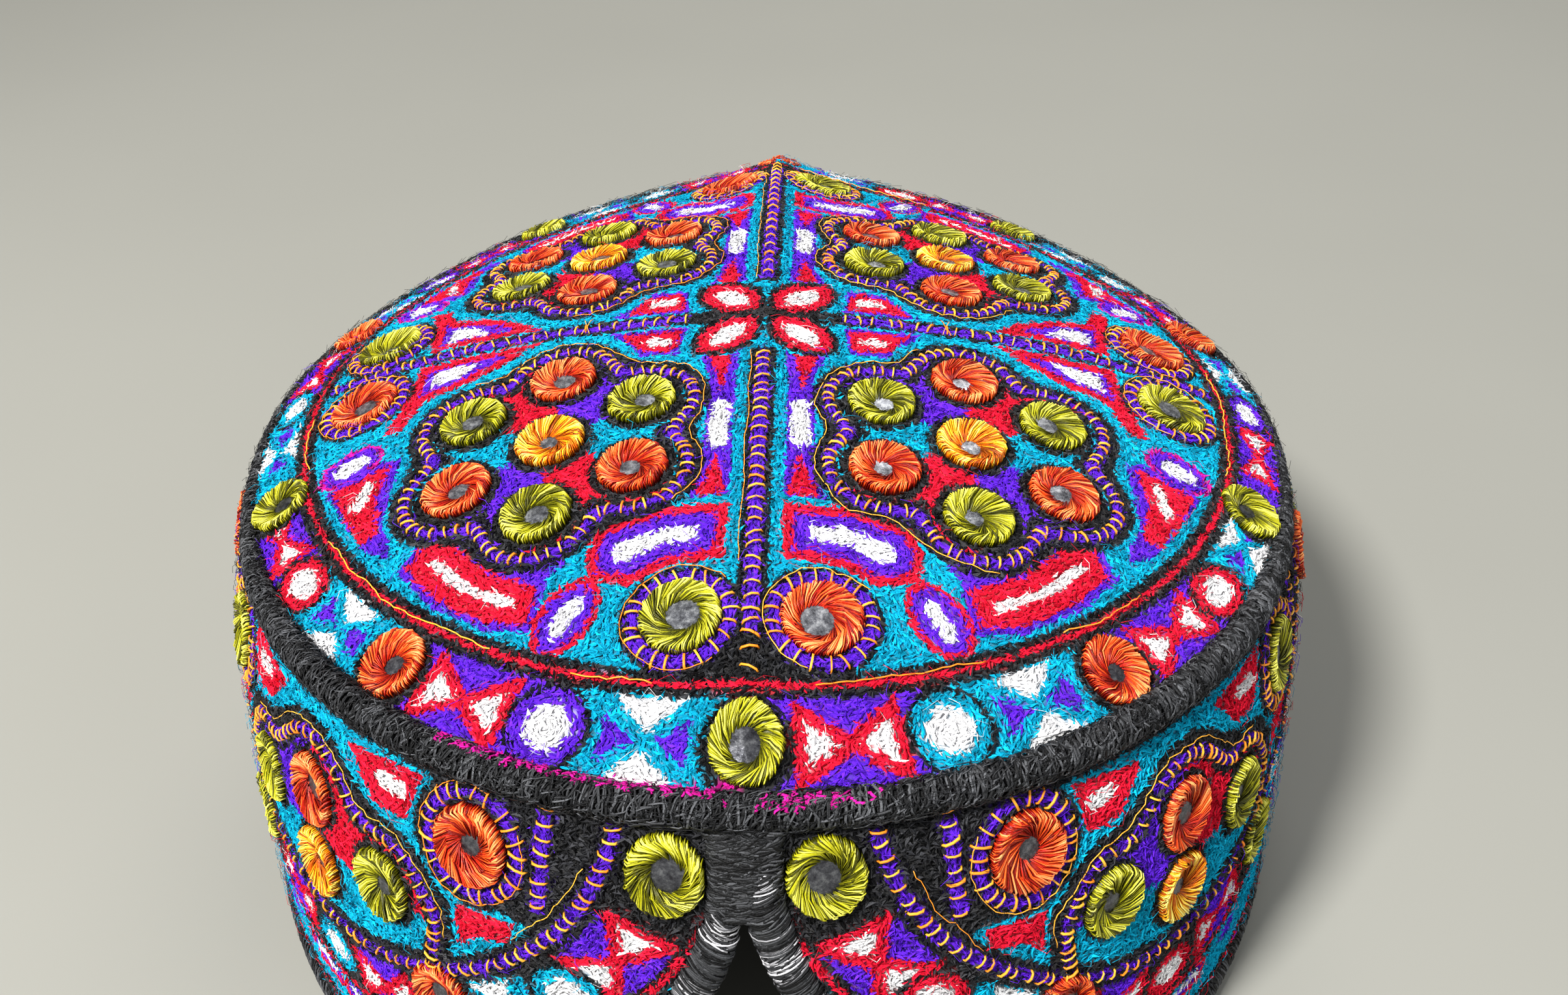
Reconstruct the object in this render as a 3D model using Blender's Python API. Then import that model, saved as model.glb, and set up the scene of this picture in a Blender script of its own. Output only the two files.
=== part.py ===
# A Sindhi cap: an oval, gently domed crown with a soft fold ridge from front to back, an upright side
# band with a pointed notch over the forehead, and black oversewn bindings along every edge. Round
# mirrors sit on the cloth, each held by a raised ring of floss.
#
# Everything is in metres, +Z up, +Y towards the back of the head. The rim stands on z = 0. A place round
# the cap is its turn, an angle from the front (-Y) towards the wearer's left (+X).

import math

import bmesh
import bpy
from mathutils import Matrix, Vector

# Plan of the cap at the seam between crown and side band
PLAN_RADIUS = 0.088
PLAN_OVAL = 0.032
GAP = 0.0003

# Height of the crown and the way it falls away from its middle
CROWN_TOP = 0.097
CROWN_THICKNESS = 0.0024
DOME_ACROSS = 0.195
DOME_ALONG = 0.106
DOME_EDGE = 0.050
RIDGE_HEIGHT = 0.0018
RIDGE_WIDTH = 0.012
BACK_DROOP = 0.0055
BACK_DROOP_WIDTH = 0.018
BACK_DROOP_REACH = (-0.005, 0.070)

# The thick roll along the crown seam, which dips at the ears
SEAM_DROP = 0.0189
SEAM_SADDLE = 0.0027
ROLL_HALF_WIDTH = 0.0032
ROLL_HALF_HEIGHT = 0.0038

# The side band, which flares a little towards its rim and leans out more over the forehead and the nape
BAND_THICKNESS = 0.0026
BAND_FLARE = 0.085
BAND_FLARE_CURVE = 0.024
BAND_LEAN = (0.006, 0.0045)
BAND_LEAN_REACH = (0.016, 0.011)

# The binding along the rim and round the forehead notch
RIM_HEIGHT = 0.0064
RIM_HALF_WIDTH = 0.0023
RIM_CHAMFER = 0.0010
NOTCH_DROP = 0.0145
NOTCH_HALF_WIDTH = 0.027
NOTCH_STRAIGHTNESS = 0.5
BINDING_WIDTH = 0.0056
BINDING_HALF_DEPTH = 0.0023
BINDING_EDGE_HALF_DEPTH = 0.0009
STEM_HALF_WIDTH = 0.0046

# Mirrors with their floss rings
MIRROR_RADIUS = 0.0057
MIRROR_SIDES = 10
MIRROR_SINK = 0.0010
MIRROR_PROFILE = ((1.00, 0.0008), (0.81, 0.0015), (0.37, 0.0008))
BOSS_PROFILE = ((0.96, 0.0012), (0.37, 0.0009))
CLUSTER_X = 0.0314
CLUSTER_Y = 0.0297
CLUSTER_RADIUS = 0.0152
PAIR_OFFSET = 0.0094
PAIR_RADIUS = 0.0660
BORDER_INSET = 0.0092
BORDER_MIRRORS = 10

# The swags of the side band. Turns are in degrees from a swag's middle, except the notch mirrors' own.
SWAG_MIDDLES = (42, 138, 222, 318)
SWAG_END_TURN = 20
SWAG_END_DROP = 0.0113
HALF_CLUSTER_DROP = 0.033
HALF_CLUSTER = ((0.0, 0.0), (0.0, 0.014), (-0.015, 0.0075), (0.015, 0.0075))
SWAG_BORDER_TURNS = (14.6, 36)
SWAG_BORDER_DROPS = (0.042, 0.0092)
NOTCH_MIRROR_TURN = 6.7
NOTCH_MIRROR_DROP = 0.0092
BETWEEN_SWAGS = ((90, 0.017), (90, 0.046), (180, 0.046), (270, 0.017), (270, 0.046))

# How finely the cloth is divided
CROWN_SECTORS = 60
CROWN_RINGS = (0.14, 0.28, 0.42, 0.56, 0.70, 0.81, 0.91, 1.0)
BAND_ROWS = 4
ROLL_SIDES = 8
NOTCH_LEVELS = (0.0, 0.12, 0.25, 0.40, 0.55, 0.70, 0.85, 1.0)
BINDING_COLUMNS = ((0.0, 0), (0.25, 0.87), (0.5, 1.0), (0.75, 0.87), (1.0, 0))


def plan_radius(turn):
    return PLAN_RADIUS * (1 + PLAN_OVAL * math.cos(2 * turn))


def back_droop(x, y):
    """How far the back half hangs on both sides of the fold; y counts from the middle of the oval."""
    start, end = BACK_DROOP_REACH
    share = min(max((y - start) / (end - start), 0), 1)
    return BACK_DROOP * share * share * (3 - 2 * share) * (1 - math.exp(-abs(x) / BACK_DROOP_WIDTH))


def seam_height(turn):
    radius = plan_radius(turn)
    droop = back_droop(radius * math.sin(turn), -radius * math.cos(turn))
    return CROWN_TOP - SEAM_DROP + SEAM_SADDLE * math.cos(2 * turn) - droop


def band_radius(turn, z):
    """Radius of the band's outer face, which flares below the seam."""
    drop = (seam_height(turn) - z) / PLAN_RADIUS
    flared = plan_radius(turn) * (1 + BAND_FLARE * drop - BAND_FLARE_CURVE * drop * drop)
    lengthwise, sideways = math.cos(turn) ** 2, math.sin(turn) ** 2
    reach = BAND_LEAN_REACH[0] * lengthwise + BAND_LEAN_REACH[1] * sideways
    lean = BAND_LEAN[0] * lengthwise + BAND_LEAN[1] * sideways
    return flared + lean * (1 - math.exp(-max(drop, 0) * PLAN_RADIUS / reach))


NOTCH_TOP = seam_height(0) - NOTCH_DROP
BAND_TOP_DROP = ROLL_HALF_HEIGHT + GAP
FRONT_RADIUS = band_radius(0, NOTCH_TOP / 2)
STEM_LEVEL = (STEM_HALF_WIDTH - BINDING_WIDTH) / (NOTCH_HALF_WIDTH * NOTCH_STRAIGHTNESS)


def level_height(level):
    """Height of a level of the notch: 0 at its point, 1 where its sides turn upright above the rim."""
    return NOTCH_TOP - level * (NOTCH_TOP - RIM_HEIGHT)


def notch_half_width(level):
    """Half the opening. Above the point the straight part goes on, below zero."""
    rounded = math.sin(math.pi / 2 * level) ** 2 if level > 0 else 0.0
    return NOTCH_HALF_WIDTH * ((1 - NOTCH_STRAIGHTNESS) * rounded + NOTCH_STRAIGHTNESS * level)


def binding_outer_edge(level):
    return max(STEM_HALF_WIDTH, notch_half_width(level) + BINDING_WIDTH)


def front_reach():
    """How far the notch binding reaches forward of the oval's middle."""
    reaches = []
    for level in NOTCH_LEVELS:
        turn = (notch_half_width(level) + BINDING_WIDTH / 2) / FRONT_RADIUS
        reaches.append((band_radius(turn, level_height(level)) + BINDING_HALF_DEPTH) * math.cos(turn))
    return max(reaches) - BAND_THICKNESS / 2


# The oval's middle lies a little forward, so that the origin is the middle of the whole cap.
MIDDLE_Y = (front_reach() - band_radius(math.pi, RIM_HEIGHT / 2) + BAND_THICKNESS / 2 - RIM_HALF_WIDTH) / 2


def placed(radius, turn, z):
    return Vector((radius * math.sin(turn), MIDDLE_Y - radius * math.cos(turn), z))


def crown_height(x, y):
    """Height of the crown's upper face; y counts from the middle of the oval."""
    across, along = x / PLAN_RADIUS, y / PLAN_RADIUS
    dome = DOME_ACROSS * across ** 2 + DOME_ALONG * along ** 2 + DOME_EDGE * (across ** 2 + along ** 2) ** 2
    ridge = RIDGE_HEIGHT * (math.exp(-abs(x) / RIDGE_WIDTH) - 1)
    return CROWN_TOP - PLAN_RADIUS * dome + ridge - back_droop(x, y)


def crown_normal(x, y):
    step = 0.002
    slope_x = (crown_height(x + step, y) - crown_height(x - step, y)) / (2 * step)
    slope_y = (crown_height(x, y + step) - crown_height(x, y - step)) / (2 * step)
    return Vector((-slope_x, -slope_y, 1)).normalized()


def crown_point(x, y):
    return Vector((x, MIDDLE_Y + y, crown_height(x, y)))


def band_point(turn, drop):
    """A point of the band's outer face, drop metres below the seam."""
    z = seam_height(turn) - drop
    return placed(band_radius(turn, z), turn, z)


def band_normal(turn, drop):
    step = 0.002
    round_the_cap = band_point(turn + 0.02, drop) - band_point(turn - 0.02, drop)
    upwards = band_point(turn, drop - step) - band_point(turn, drop + step)
    return round_the_cap.cross(upwards).normalized()


def cloth_material(name, colour, roughness, metallic=0.0):
    material = bpy.data.materials.new(name)
    material.use_nodes = True
    shader = material.node_tree.nodes["Principled BSDF"]
    shader.inputs["Base Color"].default_value = (*colour, 1)
    shader.inputs["Roughness"].default_value = roughness
    shader.inputs["Metallic"].default_value = metallic
    return material


def object_from(name, points, faces, material, smooth_angle=40):
    mesh = bpy.data.meshes.new(name)
    mesh.from_pydata([tuple(p) for p in points], [], faces)
    mesh.materials.append(material)
    mesh.shade_smooth()
    mesh.set_sharp_from_angle(angle=math.radians(smooth_angle))
    thing = bpy.data.objects.new(name, mesh)
    bpy.context.scene.collection.objects.link(thing)
    return thing


def wall_from_sheet(name, faces, outer, inner, material):
    """A closed wall of cloth: an outer sheet, an inner sheet and a strip along every free edge."""
    count = len(outer)
    edges = {}
    for face in faces:
        for start, end in zip(face, face[1:] + face[:1]):
            edges[(start, end)] = edges.get((start, end), 0) + 1
    strips = [(end, start, start + count, end + count) for start, end in edges if (end, start) not in edges]
    back = [tuple(index + count for index in reversed(face)) for face in faces]
    return object_from(name, outer + inner, faces + back + strips, material)


def swept_sections(name, sections, material, closed):
    """A solid through equal closed sections, either joined end to end or with a flat cap at each end."""
    sides = len(sections[0])
    points = [point for section in sections for point in section]
    faces = []
    last = len(sections) if closed else len(sections) - 1
    for index in range(last):
        here, there = index * sides, (index + 1) % len(sections) * sides
        for side in range(sides):
            after = (side + 1) % sides
            faces.append((here + side, there + side, there + after, here + after))
    if not closed:
        faces.append(tuple(range(sides)))
        faces.append(tuple(reversed(range(len(points) - sides, len(points)))))
    return object_from(name, points, faces, material)


def make_crown(material):
    """The domed top, cut to lie just inside the seam roll."""
    outer, inner, faces = [], [], []

    def add(x, y):
        outer.append(crown_point(x, y))
        inner.append(crown_point(x, y) - crown_normal(x, y) * CROWN_THICKNESS)

    add(0, 0)
    for share in CROWN_RINGS:
        for sector in range(CROWN_SECTORS):
            turn = math.tau * sector / CROWN_SECTORS
            radius = share * (plan_radius(turn) - ROLL_HALF_WIDTH - GAP)
            add(radius * math.sin(turn), -radius * math.cos(turn))
    for sector in range(CROWN_SECTORS):
        after = (sector + 1) % CROWN_SECTORS
        faces.append((0, 1 + sector, 1 + after))
        for ring in range(len(CROWN_RINGS) - 1):
            near, far = 1 + ring * CROWN_SECTORS, 1 + (ring + 1) * CROWN_SECTORS
            faces.append((near + sector, far + sector, far + after, near + after))
    return wall_from_sheet("crown_panel", faces, outer, inner, material)


def make_seam_roll(material):
    to_corner = 1 / math.cos(math.pi / ROLL_SIDES)
    sections = []
    for sector in range(CROWN_SECTORS):
        turn = math.tau * sector / CROWN_SECTORS
        section = []
        for side in range(ROLL_SIDES):
            angle = math.tau * (side + 0.5) / ROLL_SIDES
            out = ROLL_HALF_WIDTH * math.cos(angle) * to_corner
            up = ROLL_HALF_HEIGHT * math.sin(angle) * to_corner
            section.append(placed(plan_radius(turn) + out, turn, seam_height(turn) + up))
        sections.append(section)
    return swept_sections("seam_roll", sections, material, closed=True)


def make_side_band(material):
    """The upright wall, from one side of the front seam round the back to the other."""
    ends = [(binding_outer_edge(level), level_height(level)) for level in (STEM_LEVEL, *NOTCH_LEVELS)]
    columns = [((across + GAP) / FRONT_RADIUS, height) for across, height in ends[:-1]]
    low = RIM_HEIGHT + GAP
    foot = (ends[-1][0] + GAP) / FRONT_RADIUS
    # the same turns as the seam roll's sections, so that both follow the fold at the back alike
    turns = [math.tau * sector / CROWN_SECTORS for sector in range(1, CROWN_SECTORS // 2 + 1)]
    columns += [(foot, low)] + [(turn, low) for turn in turns if turn > foot + math.radians(2)]
    columns += [(math.tau - turn, height) for turn, height in reversed(columns[:-1])]
    outer, inner, faces = [], [], []
    for turn, height in columns:
        top = seam_height(turn) - BAND_TOP_DROP
        for row in range(BAND_ROWS + 1):
            z = top + (height - top) * row / BAND_ROWS
            radius = band_radius(turn, z)
            outer.append(placed(radius, turn, z))
            inner.append(placed(radius - BAND_THICKNESS, turn, z))
    rows = BAND_ROWS + 1
    for column in range(len(columns) - 1):
        for row in range(BAND_ROWS):
            here = column * rows + row
            faces.append((here, here + 1, here + rows + 1, here + rows))
    return wall_from_sheet("side_band", faces, outer, inner, material)


def make_notch_binding(material):
    """The black binding: two legs along the notch that join in a bar up to the seam roll."""
    top = seam_height(0) - BAND_TOP_DROP
    levels = [(None, top), (STEM_LEVEL, level_height(STEM_LEVEL))]
    levels += [(level, level_height(level)) for level in NOTCH_LEVELS] + [(1.0, 0.0)]
    outer, inner, faces, index_of = [], [], [], {}
    for row, (level, z) in enumerate(levels):
        above_point = level is None or level < 0
        inside = 0.0 if above_point else notch_half_width(level)
        outside = STEM_HALF_WIDTH if level is None else binding_outer_edge(level)
        for side in (1, -1):
            for column, (share, fullness) in enumerate(BINDING_COLUMNS):
                shared = side < 0 and column == 0 and inside == 0
                if shared:
                    index_of[row, side, column] = index_of[row, 1, 0]
                    continue
                if above_point:
                    fullness = math.cos(math.pi / 2 * share)
                depth = BINDING_EDGE_HALF_DEPTH + fullness * (BINDING_HALF_DEPTH - BINDING_EDGE_HALF_DEPTH)
                turn = side * (inside + (outside - inside) * share) / FRONT_RADIUS
                middle = band_radius(turn, z) - BAND_THICKNESS / 2
                index_of[row, side, column] = len(outer)
                outer.append(placed(middle + depth, turn, z))
                inner.append(placed(middle - depth, turn, z))
    for row in range(len(levels) - 1):
        for side in (1, -1):
            for column in range(len(BINDING_COLUMNS) - 1):
                corners = [index_of[row, side, column], index_of[row + 1, side, column],
                           index_of[row + 1, side, column + 1], index_of[row, side, column + 1]]
                faces.append(tuple(corners if side > 0 else reversed(corners)))
    return wall_from_sheet("notch_binding", faces, outer, inner, material)


def make_rim_binding(material):
    """The binding along the bottom edge, flat underneath, from one foot of the notch round to the other."""
    flat, half = RIM_HALF_WIDTH - RIM_CHAMFER, RIM_HEIGHT / 2
    profile = [(RIM_HALF_WIDTH, RIM_CHAMFER - half), (RIM_HALF_WIDTH, half - RIM_CHAMFER), (flat, half),
               (-flat, half), (-RIM_HALF_WIDTH, half - RIM_CHAMFER), (-RIM_HALF_WIDTH, RIM_CHAMFER - half),
               (-flat, -half), (flat, -half)]
    start = (binding_outer_edge(1.0) + GAP) / FRONT_RADIUS
    steps = round((math.tau - 2 * start) / (math.tau / CROWN_SECTORS))
    sections = []
    for step in range(steps + 1):
        turn = start + (math.tau - 2 * start) * step / steps
        middle = band_radius(turn, half) - BAND_THICKNESS / 2
        sections.append([placed(middle + out, turn, half + up) for out, up in profile])
    return swept_sections("rim_binding", sections, material, closed=False)


def mirror_mesh(profile, sink):
    """A round mirror in its floss ring, flat underneath, standing on z = 0 or sunk below it."""
    form = bmesh.new()
    rings = [(1.0, -sink), *profile]
    loops = []
    for share, height in rings:
        loop = []
        for side in range(MIRROR_SIDES):
            angle = math.tau * side / MIRROR_SIDES
            reach = MIRROR_RADIUS * share
            loop.append(form.verts.new((reach * math.cos(angle), reach * math.sin(angle), height)))
        loops.append(loop)
    for lower, upper in zip(loops, loops[1:]):
        for side in range(MIRROR_SIDES):
            after = (side + 1) % MIRROR_SIDES
            form.faces.new((lower[side], lower[after], upper[after], upper[side]))
    form.faces.new(list(reversed(loops[0])))
    form.faces.new(loops[-1])
    mesh = bpy.data.meshes.new("mirror")
    form.to_mesh(mesh)
    form.free()
    return mesh


def standing_on(point, normal, lift=0.0):
    turn = normal.to_track_quat("Z", "Y").to_matrix().to_4x4()
    return Matrix.Translation(point + normal * lift) @ turn


def make_mirror(name, mesh, matrix):
    mirror = bpy.data.objects.new(name, mesh)
    mirror.matrix_world = matrix
    bpy.context.scene.collection.objects.link(mirror)
    return mirror


def crown_mirror_places():
    """The four clusters of seven and the pairs at the ends of the cross: name, place in plan and floss."""
    for side_x, across in ((-1, "right"), (1, "left")):
        for side_y, along in ((-1, "front"), (1, "back")):
            x, y = side_x * CLUSTER_X, side_y * CLUSTER_Y
            yield f"mirror_{along}_{across}_middle", x, y, "yellow"
            for number in range(6):
                angle = math.radians(90 - 60 * number)
                floss = ("orange", "green")[(number + (side_y > 0)) % 2]
                yield (f"mirror_{along}_{across}_{number + 1}",
                       x + CLUSTER_RADIUS * math.cos(angle), y + CLUSTER_RADIUS * math.sin(angle), floss)
            same = side_x == side_y
            yield (f"end_mirror_{along}_{across}", side_x * PAIR_OFFSET, side_y * PAIR_RADIUS,
                   "green" if same else "orange")
            yield (f"side_mirror_{along}_{across}", side_x * PAIR_RADIUS, side_y * PAIR_OFFSET,
                   "orange" if same else "green")


def band_boss_places():
    """Turn in degrees and drop below the seam of each mirror that is worked into the side band."""
    for middle in SWAG_MIDDLES:
        for side in (-1, 1):
            front_end = min(middle, 360 - middle) == SWAG_MIDDLES[0] and (middle < 180) == (side < 0)
            inner_turn, outer_turn = SWAG_BORDER_TURNS
            inner_drop, outer_drop = SWAG_BORDER_DROPS
            yield middle + side * inner_turn, inner_drop
            if not front_end:
                yield middle + side * outer_turn, outer_drop
                yield middle + side * SWAG_END_TURN, SWAG_END_DROP
        for across, up in HALF_CLUSTER:
            yield middle + math.degrees(across / FRONT_RADIUS), HALF_CLUSTER_DROP - up
    yield from BETWEEN_SWAGS


def work_bosses_into(cloth, places, mesh):
    """Joins mirrors to the cloth that they are worked into."""
    tool = bpy.data.meshes.new(cloth.name + "_mirrors")
    form = bmesh.new()
    for matrix in places:
        copy = mesh.copy()
        copy.transform(matrix)
        form.from_mesh(copy)
        bpy.data.meshes.remove(copy)
    form.to_mesh(tool)
    form.free()
    helper = bpy.data.objects.new(tool.name, tool)
    helper.hide_render = True
    helper.display_type = "WIRE"
    bpy.context.scene.collection.objects.link(helper)
    join = cloth.modifiers.new("mirrors", "BOOLEAN")
    join.operation = "UNION"
    join.solver = "EXACT"
    join.object = helper


def make_mirrors(crown, band, flosses):
    loose = {}
    for colour, material in flosses.items():
        loose[colour] = mirror_mesh(MIRROR_PROFILE, 0.0)
        loose[colour].materials.append(material)
    for name, x, y, colour in crown_mirror_places():
        make_mirror(name, loose[colour], standing_on(crown_point(x, y), crown_normal(x, y), GAP))
    front = (("notch_mirror", NOTCH_MIRROR_TURN, NOTCH_MIRROR_DROP, "green"),
             ("swag_mirror", SWAG_MIDDLES[0] - SWAG_END_TURN, SWAG_END_DROP, "orange"))
    for name, degrees, drop, colour in front:
        for side, word in ((-1, "right"), (1, "left")):
            turn = side * math.radians(degrees)
            place = standing_on(band_point(turn, drop), band_normal(turn, drop), GAP)
            make_mirror(f"{name}_{word}", loose[colour], place)
    boss = mirror_mesh(BOSS_PROFILE, MIRROR_SINK)
    border = []
    for number in range(BORDER_MIRRORS):
        turn = math.tau * number / BORDER_MIRRORS
        radius = plan_radius(turn) - BORDER_INSET
        x, y = radius * math.sin(turn), -radius * math.cos(turn)
        border.append(standing_on(crown_point(x, y), crown_normal(x, y)))
    work_bosses_into(crown, border, boss)
    turns = [(math.radians(degrees), drop) for degrees, drop in band_boss_places()]
    work_bosses_into(band, [standing_on(band_point(t, d), band_normal(t, d)) for t, d in turns], boss)


def main():
    for thing in list(bpy.data.objects):
        bpy.data.objects.remove(thing)
    embroidery = cloth_material("embroidered_cloth", (0.05, 0.32, 0.45), 0.85)
    thread = cloth_material("black_thread", (0.02, 0.02, 0.022), 0.8)
    flosses = {"green": cloth_material("floss_green", (0.42, 0.46, 0.05), 0.5),
               "orange": cloth_material("floss_orange", (0.85, 0.22, 0.06), 0.5),
               "yellow": cloth_material("floss_yellow", (0.88, 0.62, 0.05), 0.5)}
    crown = make_crown(embroidery)
    make_seam_roll(thread)
    band = make_side_band(embroidery)
    make_notch_binding(thread)
    make_rim_binding(thread)
    make_mirrors(crown, band, flosses)


main()
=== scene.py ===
# Embroidered Sindhi cap: stitched crown and side band with mirror work, black oversewn edges.
import math

import bpy
import numpy as np
from mathutils import Matrix, Vector


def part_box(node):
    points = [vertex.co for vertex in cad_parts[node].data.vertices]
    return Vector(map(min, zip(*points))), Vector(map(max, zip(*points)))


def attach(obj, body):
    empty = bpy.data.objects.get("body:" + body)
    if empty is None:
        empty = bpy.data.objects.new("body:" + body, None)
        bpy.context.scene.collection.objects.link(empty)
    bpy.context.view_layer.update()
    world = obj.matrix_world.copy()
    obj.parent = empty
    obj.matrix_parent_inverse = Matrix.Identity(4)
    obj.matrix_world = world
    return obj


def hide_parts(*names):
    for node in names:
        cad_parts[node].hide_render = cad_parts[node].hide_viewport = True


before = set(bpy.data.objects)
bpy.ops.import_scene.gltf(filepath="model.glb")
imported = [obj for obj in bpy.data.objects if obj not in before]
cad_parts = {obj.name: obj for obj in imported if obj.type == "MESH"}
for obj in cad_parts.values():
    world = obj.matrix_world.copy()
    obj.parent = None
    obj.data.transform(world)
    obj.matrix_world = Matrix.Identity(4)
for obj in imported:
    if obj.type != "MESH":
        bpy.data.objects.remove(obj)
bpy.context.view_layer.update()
rng = np.random.default_rng(7)
print("frame loaded")

# Lengths below are in millimetres and become metres when a mesh is made.
capForm = {"radius": 88.0, "oval": 0.032, "top": 97.0, "domeAcross": 0.195, "domeAlong": 0.106,
           "domeEdge": 0.05, "ridgeHeight": 1.8, "ridgeWidth": 12.0, "droop": 5.5, "droopWidth": 18.0,
           "droopReach": (-5.0, 70.0), "seamDrop": 18.9, "seamSaddle": 2.7, "flare": 0.085,
           "flareCurve": 0.024, "lean": (6.0, 4.5), "leanReach": (16.0, 11.0), "rimHeight": 6.4, "wall": 2.6,
           "notchDrop": 14.5, "notchHalfWidth": 27.0, "bindingWidth": 5.6, "stemHalfWidth": 4.6,
           "tuck": 1.1, "tuckReach": 9}
crownLow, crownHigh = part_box("crown_panel")
middleY = (crownLow.y + crownHigh.y) * 500
patternRadius = 90.0  # round the band a place is an arc at this radius from the middle of the front


def planRadius(turn):
    return capForm["radius"] * (1 + capForm["oval"] * np.cos(2 * turn))


def smoothly(share):
    share = np.clip(share, 0, 1)
    return share * share * (3 - 2 * share)


def backDroop(x, y):
    start, end = capForm["droopReach"]
    beside = 1 - np.exp(-np.abs(x) / capForm["droopWidth"])
    return capForm["droop"] * smoothly((y - start) / (end - start)) * beside


def seamHeight(turn):
    radius = planRadius(turn)
    droop = backDroop(radius * np.sin(turn), -radius * np.cos(turn))
    return capForm["top"] - capForm["seamDrop"] + capForm["seamSaddle"] * np.cos(2 * turn) - droop


def bandRadius(turn, drop):
    share = drop / capForm["radius"]
    flared = planRadius(turn) * (1 + capForm["flare"] * share - capForm["flareCurve"] * share ** 2)
    lengthwise, sideways = np.cos(turn) ** 2, np.sin(turn) ** 2
    reach = capForm["leanReach"][0] * lengthwise + capForm["leanReach"][1] * sideways
    lean = capForm["lean"][0] * lengthwise + capForm["lean"][1] * sideways
    return flared + lean * (1 - np.exp(-np.maximum(drop, 0) / reach))


def crownAt(places, lift=0.0):
    x, y = places[..., 0], places[..., 1]
    step = 0.5

    def height(x, y):
        across, along = x / capForm["radius"], y / capForm["radius"]
        dome = capForm["domeAcross"] * across ** 2 + capForm["domeAlong"] * along ** 2
        dome = dome + capForm["domeEdge"] * (across ** 2 + along ** 2) ** 2
        ridge = capForm["ridgeHeight"] * (np.exp(-np.abs(x) / capForm["ridgeWidth"]) - 1)
        return capForm["top"] - capForm["radius"] * dome + ridge - backDroop(x, y)

    slopeX = (height(x + step, y) - height(x - step, y)) / (2 * step)
    slopeY = (height(x, y + step) - height(x, y - step)) / (2 * step)
    normals = unit(np.stack([-slopeX, -slopeY, np.ones_like(x)], -1))
    points = np.stack([x, y + middleY, height(x, y)], -1)
    return points + normals * np.asarray(lift)[..., None], normals


def edgeRadius(turn, inset, less):
    # inside the crown's edge, and less far inside away from the front
    return planRadius(turn) - inset + less * smoothly(np.abs(turn) - 0.7)


def tucked(depth):
    # how much of the band's cloth is tucked under the roll
    return capForm["tuck"] * (1 - np.exp(-depth / capForm["tuckReach"]))


def bandDrop(depth):
    return depth - tucked(np.maximum(depth, 0))


def roundAt(turn, radius, height):
    return np.stack([radius * np.sin(turn), middleY - radius * np.cos(turn), height + 0 * turn], -1)


def bandAt(places, lift=0.0):
    turn = places[..., 0] / patternRadius
    drop = bandDrop(places[..., 1])
    point = lambda t, d: roundAt(t, bandRadius(t, d), seamHeight(t) - d)
    normals = unit(np.cross(point(turn + 0.005, drop) - point(turn - 0.005, drop),
                            point(turn, drop - 0.5) - point(turn, drop + 0.5)))
    return point(turn, drop) + normals * np.asarray(lift)[..., None], normals


def unit(vectors):
    return vectors / np.maximum(np.linalg.norm(vectors, axis=-1, keepdims=True), 1e-9)


def leftOf(ways):
    return np.stack([-ways[:, 1], ways[:, 0]], -1)


frontSeam = float(seamHeight(0.0))
notchTop = frontSeam - capForm["notchDrop"]
frontRadius = float(bandRadius(0.0, capForm["top"] - capForm["seamDrop"] + capForm["seamSaddle"]
                               - notchTop / 2))


def notchHalf(height):
    level = (notchTop - height) / (notchTop - capForm["rimHeight"])
    rounded = np.sin(np.pi / 2 * np.clip(level, 0, 1)) ** 2
    return capForm["notchHalfWidth"] * (0.5 * rounded + 0.5 * np.minimum(level, 1))


def notchOuter(height):
    return np.maximum(capForm["stemHalfWidth"], notchHalf(height) + capForm["bindingWidth"])


# Shader maths

class Wire:
    def __init__(self, nodes, socket):
        self.nodes, self.socket = nodes, socket

    def maths(self, operation, *others):
        values = {0: self, **{index + 1: other for index, other in enumerate(others)}}
        return self.nodes.add("ShaderNodeMath", {"operation": operation}, values)

    def __add__(self, other):
        return self.maths("ADD", other)

    def __sub__(self, other):
        return self.maths("SUBTRACT", other)

    def __mul__(self, other):
        return self.maths("MULTIPLY", other)

    def __rsub__(self, other):
        return self.nodes.add("ShaderNodeMath", {"operation": "SUBTRACT"}, {0: other, 1: self})

    __radd__ = __add__
    __rmul__ = __mul__


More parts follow.
